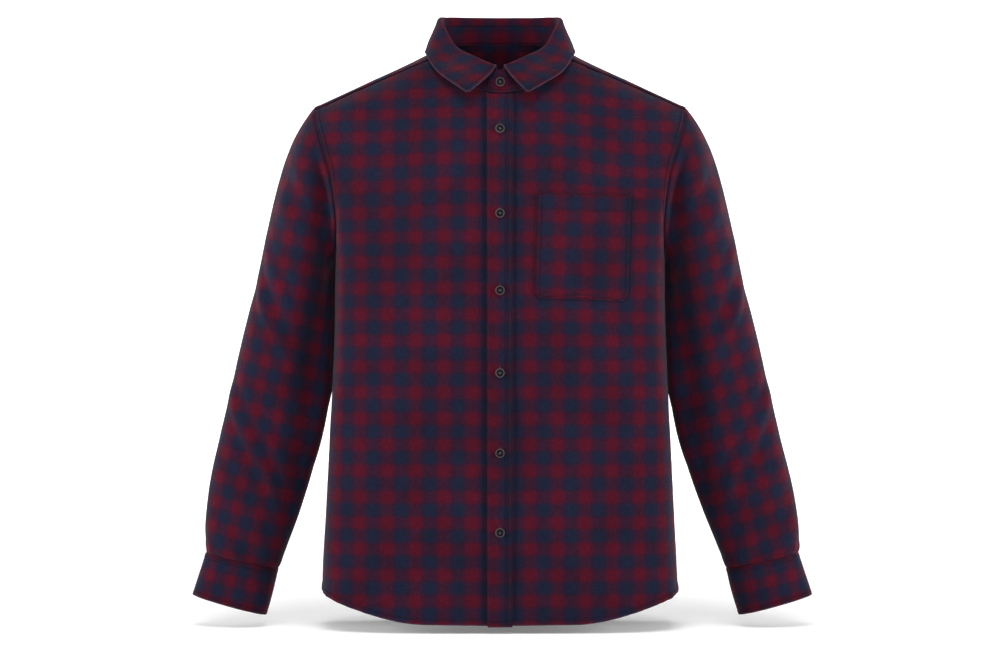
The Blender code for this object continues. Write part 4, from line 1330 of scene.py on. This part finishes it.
def make_stand():
    """The collar stand, round the neck and lapped at the centre front, round at its ends."""
    lap = STAND_LAP / HALF_NECK
    half = HALF_NECK + STAND_LAP
    ats = (stepped(2 * half) - half) / HALF_NECK
    shares = stepped(STAND_HEIGHT, FINE_STEP, EDGE_MARKS, PLAIN_MARKS) / STAND_HEIGHT
    columns = []
    for at in ats:
        past = max(0.0, (abs(at) - 1) / lap)
        rounded = 1 - STAND_END_ROUNDING * (1 - math.sqrt(max(0.0, 1 - past**2)))
        columns.append([stand_point(at, share * rounded) for share in shares])
    points = np.array(columns).transpose(1, 0, 2)
    form = sheet(points, ats * HALF_NECK, inward=True)
    form = form._replace(v=form.low)
    relief = 0.0
    for seed, edge in enumerate(STAND_EDGES, 151):
        relief = relief + fold_relief(form, edge, seed, STAND_FOLD, STAND_RISE, (STAND_ROW,))
    return raised(form, relief)


def leaf_line(at):
    """The collar's section at a place: from the stand up, over the fold and down its leaf."""
    seam, fold, edge, _ = collar_station(at)
    lift = lap_lift(at)
    along = collar_station(at + NEAR)[1] - collar_station(at - NEAR)[1]
    out = np.cross(fold - seam, along)
    out /= np.linalg.norm(out)
    up = np.cross(along, out)
    up /= np.linalg.norm(up)
    foot = stand_top(at) + out * (lift - CLOTH) + up * SEAM_GAP * 2
    middle = fold - up * FOLD_RADIUS + out * (lift - CLOTH + FOLD_RADIUS)
    angles = np.linspace(0, math.pi, ROLL_SAMPLES)[:, None]
    roll = middle - out * np.cos(angles) * FOLD_RADIUS + up * np.sin(angles) * FOLD_RADIUS
    leaf_end = edge + out * lift
    down = leaf_end - roll[-1]
    leave = roll[-1] + (down - up * np.linalg.norm(down)) * LEAF_LEAVES
    arrive = leaf_end - down * LEAF_ARRIVES + out * LEAF_BULGE
    fall = bezier(roll[-1], leave, arrive, leaf_end, LEAF_SAMPLES)
    return np.vstack([foot, roll, fall[1:]])


COLLAR_ROW, COLLAR_RISE = 4.4, 0.4
COLLAR_GIRTH = 540.0
TIP_RADIUS = 5.0
COLLAR_EDGES = ("high", "left", "right")


def rounded_tips(form):
    """The collar with the tips of its leaves rounded."""
    over = unit(np.gradient(form.points, axis=1))
    up = unit(np.gradient(form.points, axis=0))
    points = form.points
    for edge, way in (("left", 1), ("right", -1)):
        beside = np.clip(TIP_RADIUS - getattr(form, edge), 0, None)
        above = np.clip(TIP_RADIUS - form.high, 0, None)
        share = np.maximum(beside, above) / np.maximum(np.hypot(beside, above), 1e-6)
        moved = 1 - np.where((beside > 0) & (above > 0), share, 1.0)
        points = points + over * way * (beside * moved)[..., None] - up * (above * moved)[..., None]
    return form._replace(points=points)


def make_collar():
    """The collar with the stitches along its edge."""
    lines = [leaf_line(at) for at in (2 * stepped(COLLAR_GIRTH) / COLLAR_GIRTH - 1) * COLLAR_ENDS]
    count = count_for(max(lengths(line)[-1] for line in lines), FINE_STEP, PLAIN_MARKS)
    grid = [at_lengths(line, spread(lengths(line)[-1], count, PLAIN_MARKS)) for line in lines]
    form = sheet(np.array(grid).transpose(1, 0, 2))
    middle = form.u.shape[1] // 2
    form = form._replace(u=form.left - form.left[:, middle : middle + 1], v=form.high)
    relief = 0.6 * soft_waves(form.u, form.high, 171)
    for seed, edge in enumerate(COLLAR_EDGES, 161):
        relief = relief + fold_relief(form, edge, seed, COLLAR_ROW + 1, COLLAR_RISE, (COLLAR_ROW,))
    return rounded_tips(raised(form, relief))


stand_runs, collar_runs = [], []
sewn = [(edge, (STAND_ROW,)) for edge in STAND_EDGES]
piece_of("collar_stand", make_stand(), turned=True, sewn=sewn, runs=stand_runs)
piece_of(
    "collar",
    make_collar(),
    thickness=DOUBLE_CLOTH,
    rim_highlight=COLLAR_EDGES,
    sewn=[(edge, (COLLAR_ROW,)) for edge in COLLAR_EDGES],
    runs=collar_runs,
)
add_stitches("stitching_body", body_runs, THREAD)
add_stitches("stitching_collar", collar_runs + stand_runs, THREAD, **FINE_STITCH)
for name, runs in sleeve_runs.items():
    add_stitches("stitching_cuff_" + name, runs, THREAD, **FINE_STITCH)


# The buttons

# The section from the middle of the face over the rim to the middle of the back: shares of the
# radius and of the height
BUTTON_SECTION = (
    (0.0, 0.58), (0.45, 0.60), (0.60, 0.64), (0.70, 0.80), (0.79, 0.96), (0.88, 1.0),
    (0.955, 0.94), (1.0, 0.76), (1.0, 0.42), (0.93, 0.18), (0.75, 0.04), (0.0, 0.0),
)
BUTTON_SIDES = 48
HOLE_OFFSET, STRAND_APART = 1.0, 0.25
STRAND = {"length": 2.4, "radius": 0.3, "sides": 6}
BUTTONHOLE_LENGTH, BUTTONHOLE_BAR, BUTTONHOLE_SIDE = 15.0, 0.62, 0.95
BUTTONHOLE_STITCH = {"length": 1.25, "radius": 0.27}
BUTTONHOLE_SINK, BUTTONHOLE_ABOVE = 0.22, 1.6


def frame_of(facing, upward=(0, 0, 1)):
    """Three directions: across, up and out of something that faces a way."""
    out = unit(np.asarray(facing, float))
    over = unit(np.cross(np.asarray(upward, float), out))
    return over, np.cross(out, over), out


def make_button(name, seat, facing, turn):
    """A round button with a raised rim, and the thread that it is sewn on with."""
    over, up, out = frame_of(facing)
    turns = np.arange(BUTTON_SIDES) * 2 * math.pi / BUTTON_SIDES
    points = [seat + out * BUTTON_SECTION[0][1] * BUTTON_HEIGHT]
    for radius, height in BUTTON_SECTION[1:-1]:
        for angle in turns:
            flat = over * math.cos(angle) + up * math.sin(angle)
            points.append(seat + flat * radius * BUTTON_RADIUS + out * height * BUTTON_HEIGHT)
    points.append(np.array(seat))
    last = 1 + (len(BUTTON_SECTION) - 3) * BUTTON_SIDES
    faces = []
    for i in range(BUTTON_SIDES):
        j = (i + 1) % BUTTON_SIDES
        faces.append((0, 1 + i, 1 + j))
        for low in range(1, last, BUTTON_SIDES):
            high = low + BUTTON_SIDES
            faces.append((low + i, high + i, high + j, low + j))
        faces.append((last + i, len(points) - 1, last + j))
    radii = [0.0, *np.repeat([ring[0] for ring in BUTTON_SECTION[1:-1]], BUTTON_SIDES), 0.0]
    face_map = np.stack([radii, radii], 1)
    piece = add_mesh("worn_" + name, points, faces, BUTTON, "shirt_button", Face=face_map)
    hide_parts(name)
    face = seat + out * (BUTTON_SECTION[1][1] * BUTTON_HEIGHT + 0.1)
    line = over * math.cos(turn) + up * math.sin(turn)
    beside = up * math.cos(turn) - over * math.sin(turn)
    runs = []
    for hole in (-HOLE_OFFSET, HOLE_OFFSET):
        for strand in (-STRAND_APART, STRAND_APART):
            runs.append(((face + beside * (hole + strand))[None], line[None], out[None]))
    add_stitches("thread_" + name, runs, BUTTON_THREAD, **STRAND)


def buttonhole(seat, facing):
    """The bars of thread on both sides of an upright slit."""
    over, up, out = frame_of(facing)
    heights = np.arange(-BUTTONHOLE_LENGTH / 2, BUTTONHOLE_LENGTH / 2, BUTTONHOLE_BAR)[:, None]
    ways = (np.ones_like(heights) * over, np.ones_like(heights) * out)
    return [(seat + over * side * BUTTONHOLE_SIDE + up * heights, *ways) for side in (-1, 1)]


proud = CLOTH + LAID_ON_GAP + SEAM_GAP
hole_runs = []
for number, height in enumerate(PLACKET_BUTTONS, 1):
    seat = on_front(0.0, height, proud)
    facing = on_front(0.0, height, proud + 10) - seat
    make_button(f"button_{number}", seat, facing, 0.5 + 0.35 * number)
    hole = seat - unit(facing) * BUTTONHOLE_SINK + np.array([0, 0, BUTTONHOLE_ABOVE])
    hole_runs += buttonhole(hole, facing)
seat = stand_point(1.0, STAND_BUTTON_HEIGHT, SEAM_GAP + STAND_BUTTON_ROOM)
across_it, other_side = (stand_point(at, STAND_BUTTON_HEIGHT) for at in (1 - NEAR, 1 + NEAR))
up_it = stand_point(1.0, 1.0) - stand_point(1.0, 0.0)
make_button("button_stand", seat, np.cross(across_it - other_side, up_it), 0.6)
for name, side in (("left", 1), ("right", -1)):
    turn = CUFF_LAP_STARTS + 360 + CUFF_LAP / 2
    behind = SEAM_GAP + CUFF_BUTTON_ROOM
    button = [cuff_point(turn, CUFF_BUTTON_SHARE, out) for out in (behind, behind + 10)]
    seat, ahead = hung(np.array(button), side)
    make_button(f"button_cuff_{name}", seat, ahead - seat, 0.8)
add_stitches("stitching_buttonholes", hole_runs, BUTTONHOLE_THREAD, **BUTTONHOLE_STITCH)


# The fields of a piece's cut, in metres; the solids that the cloth pieces replace are hidden
Cut = namedtuple("Cut", "width length area held rests_on")
for name, piece in cloth_pieces.items():
    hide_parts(name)


# Camera, floor and light

CAMERA_DISTANCE, CAMERA_HEIGHT = 3.5, -0.353
FRAME_PIXELS, PIXEL = 1008, 0.00128
SHIFT_PIXELS = 4
SENSOR = 36.0
camera_data = bpy.data.cameras.new("Camera")
camera_data.sensor_width = SENSOR
camera_data.lens = SENSOR * CAMERA_DISTANCE / (FRAME_PIXELS * PIXEL)
camera_data.shift_x = SHIFT_PIXELS / FRAME_PIXELS
camera_data.clip_end = 50
camera = bpy.data.objects.new("Camera", camera_data)
camera.location = (0, -CAMERA_DISTANCE, CAMERA_HEIGHT)
camera.rotation_euler = (math.pi / 2, 0, 0)
bpy.context.scene.collection.objects.link(camera)
bpy.context.scene.camera = camera

FLOOR_LEVEL, FLOOR_FRONT = -0.7245, -30.0
SWEEP_START, SWEEP_RADIUS, SWEEP_TOP, SWEEP_HALF = 3.8, 0.9, 5.0, 30.0


def make_sweep():
    """A pale floor that curves up into a backdrop."""
    profile = [(FLOOR_FRONT, FLOOR_LEVEL)]
    for angle in np.linspace(0, math.pi / 2, 24):
        back_at = SWEEP_START + SWEEP_RADIUS * math.sin(angle)
        profile.append((back_at, FLOOR_LEVEL + SWEEP_RADIUS * (1 - math.cos(angle))))
    profile.append((SWEEP_START + SWEEP_RADIUS, SWEEP_TOP))
    points = [(x, y, z) for y, z in profile for x in (-SWEEP_HALF, SWEEP_HALF)]
    mesh = bpy.data.meshes.new("floor")
    mesh.from_pydata(points, [], grid_quads((len(profile), 2)).tolist())
    mesh.shade_smooth()
    mesh.materials.append(PAPER)
    floor = bpy.data.objects.new("floor", mesh)
    bpy.context.scene.collection.objects.link(floor)
    return floor


LIGHT_SIZE = 1.6


def add_light(name, place, target, energy):
    """A soft square light that faces a target."""
    data = bpy.data.lights.new(name, "AREA")
    data.shape = "SQUARE"
    data.size = LIGHT_SIZE
    data.energy = energy
    light = bpy.data.objects.new(name, data)
    over, up, out = frame_of(np.array(place) - np.array(target))
    matrix = np.eye(4)
    matrix[:3] = np.stack([over, up, out, place], 1)
    light.matrix_world = Matrix(matrix.tolist())
    bpy.context.scene.collection.objects.link(light)


make_sweep()
add_light("Left light", (-3.1, -1.1, 0.1), (0, 0, -0.45), 104)
add_light("Right light", (3.1, -1.1, 0.1), (0, 0, -0.45), 92)
add_light("Top light", (0.0, -1.7, 2.1), (0, 0, -0.1), 56)

WORLD_STRENGTH = 0.25
world = bpy.data.worlds.new("Studio")
world.use_nodes = True
backdrop = world.node_tree.nodes["Background"]
backdrop.inputs["Color"].default_value = (1, 1, 1, 1)
backdrop.inputs["Strength"].default_value = WORLD_STRENGTH
bpy.context.scene.world = world
bpy.context.scene.view_settings.view_transform = "Standard"
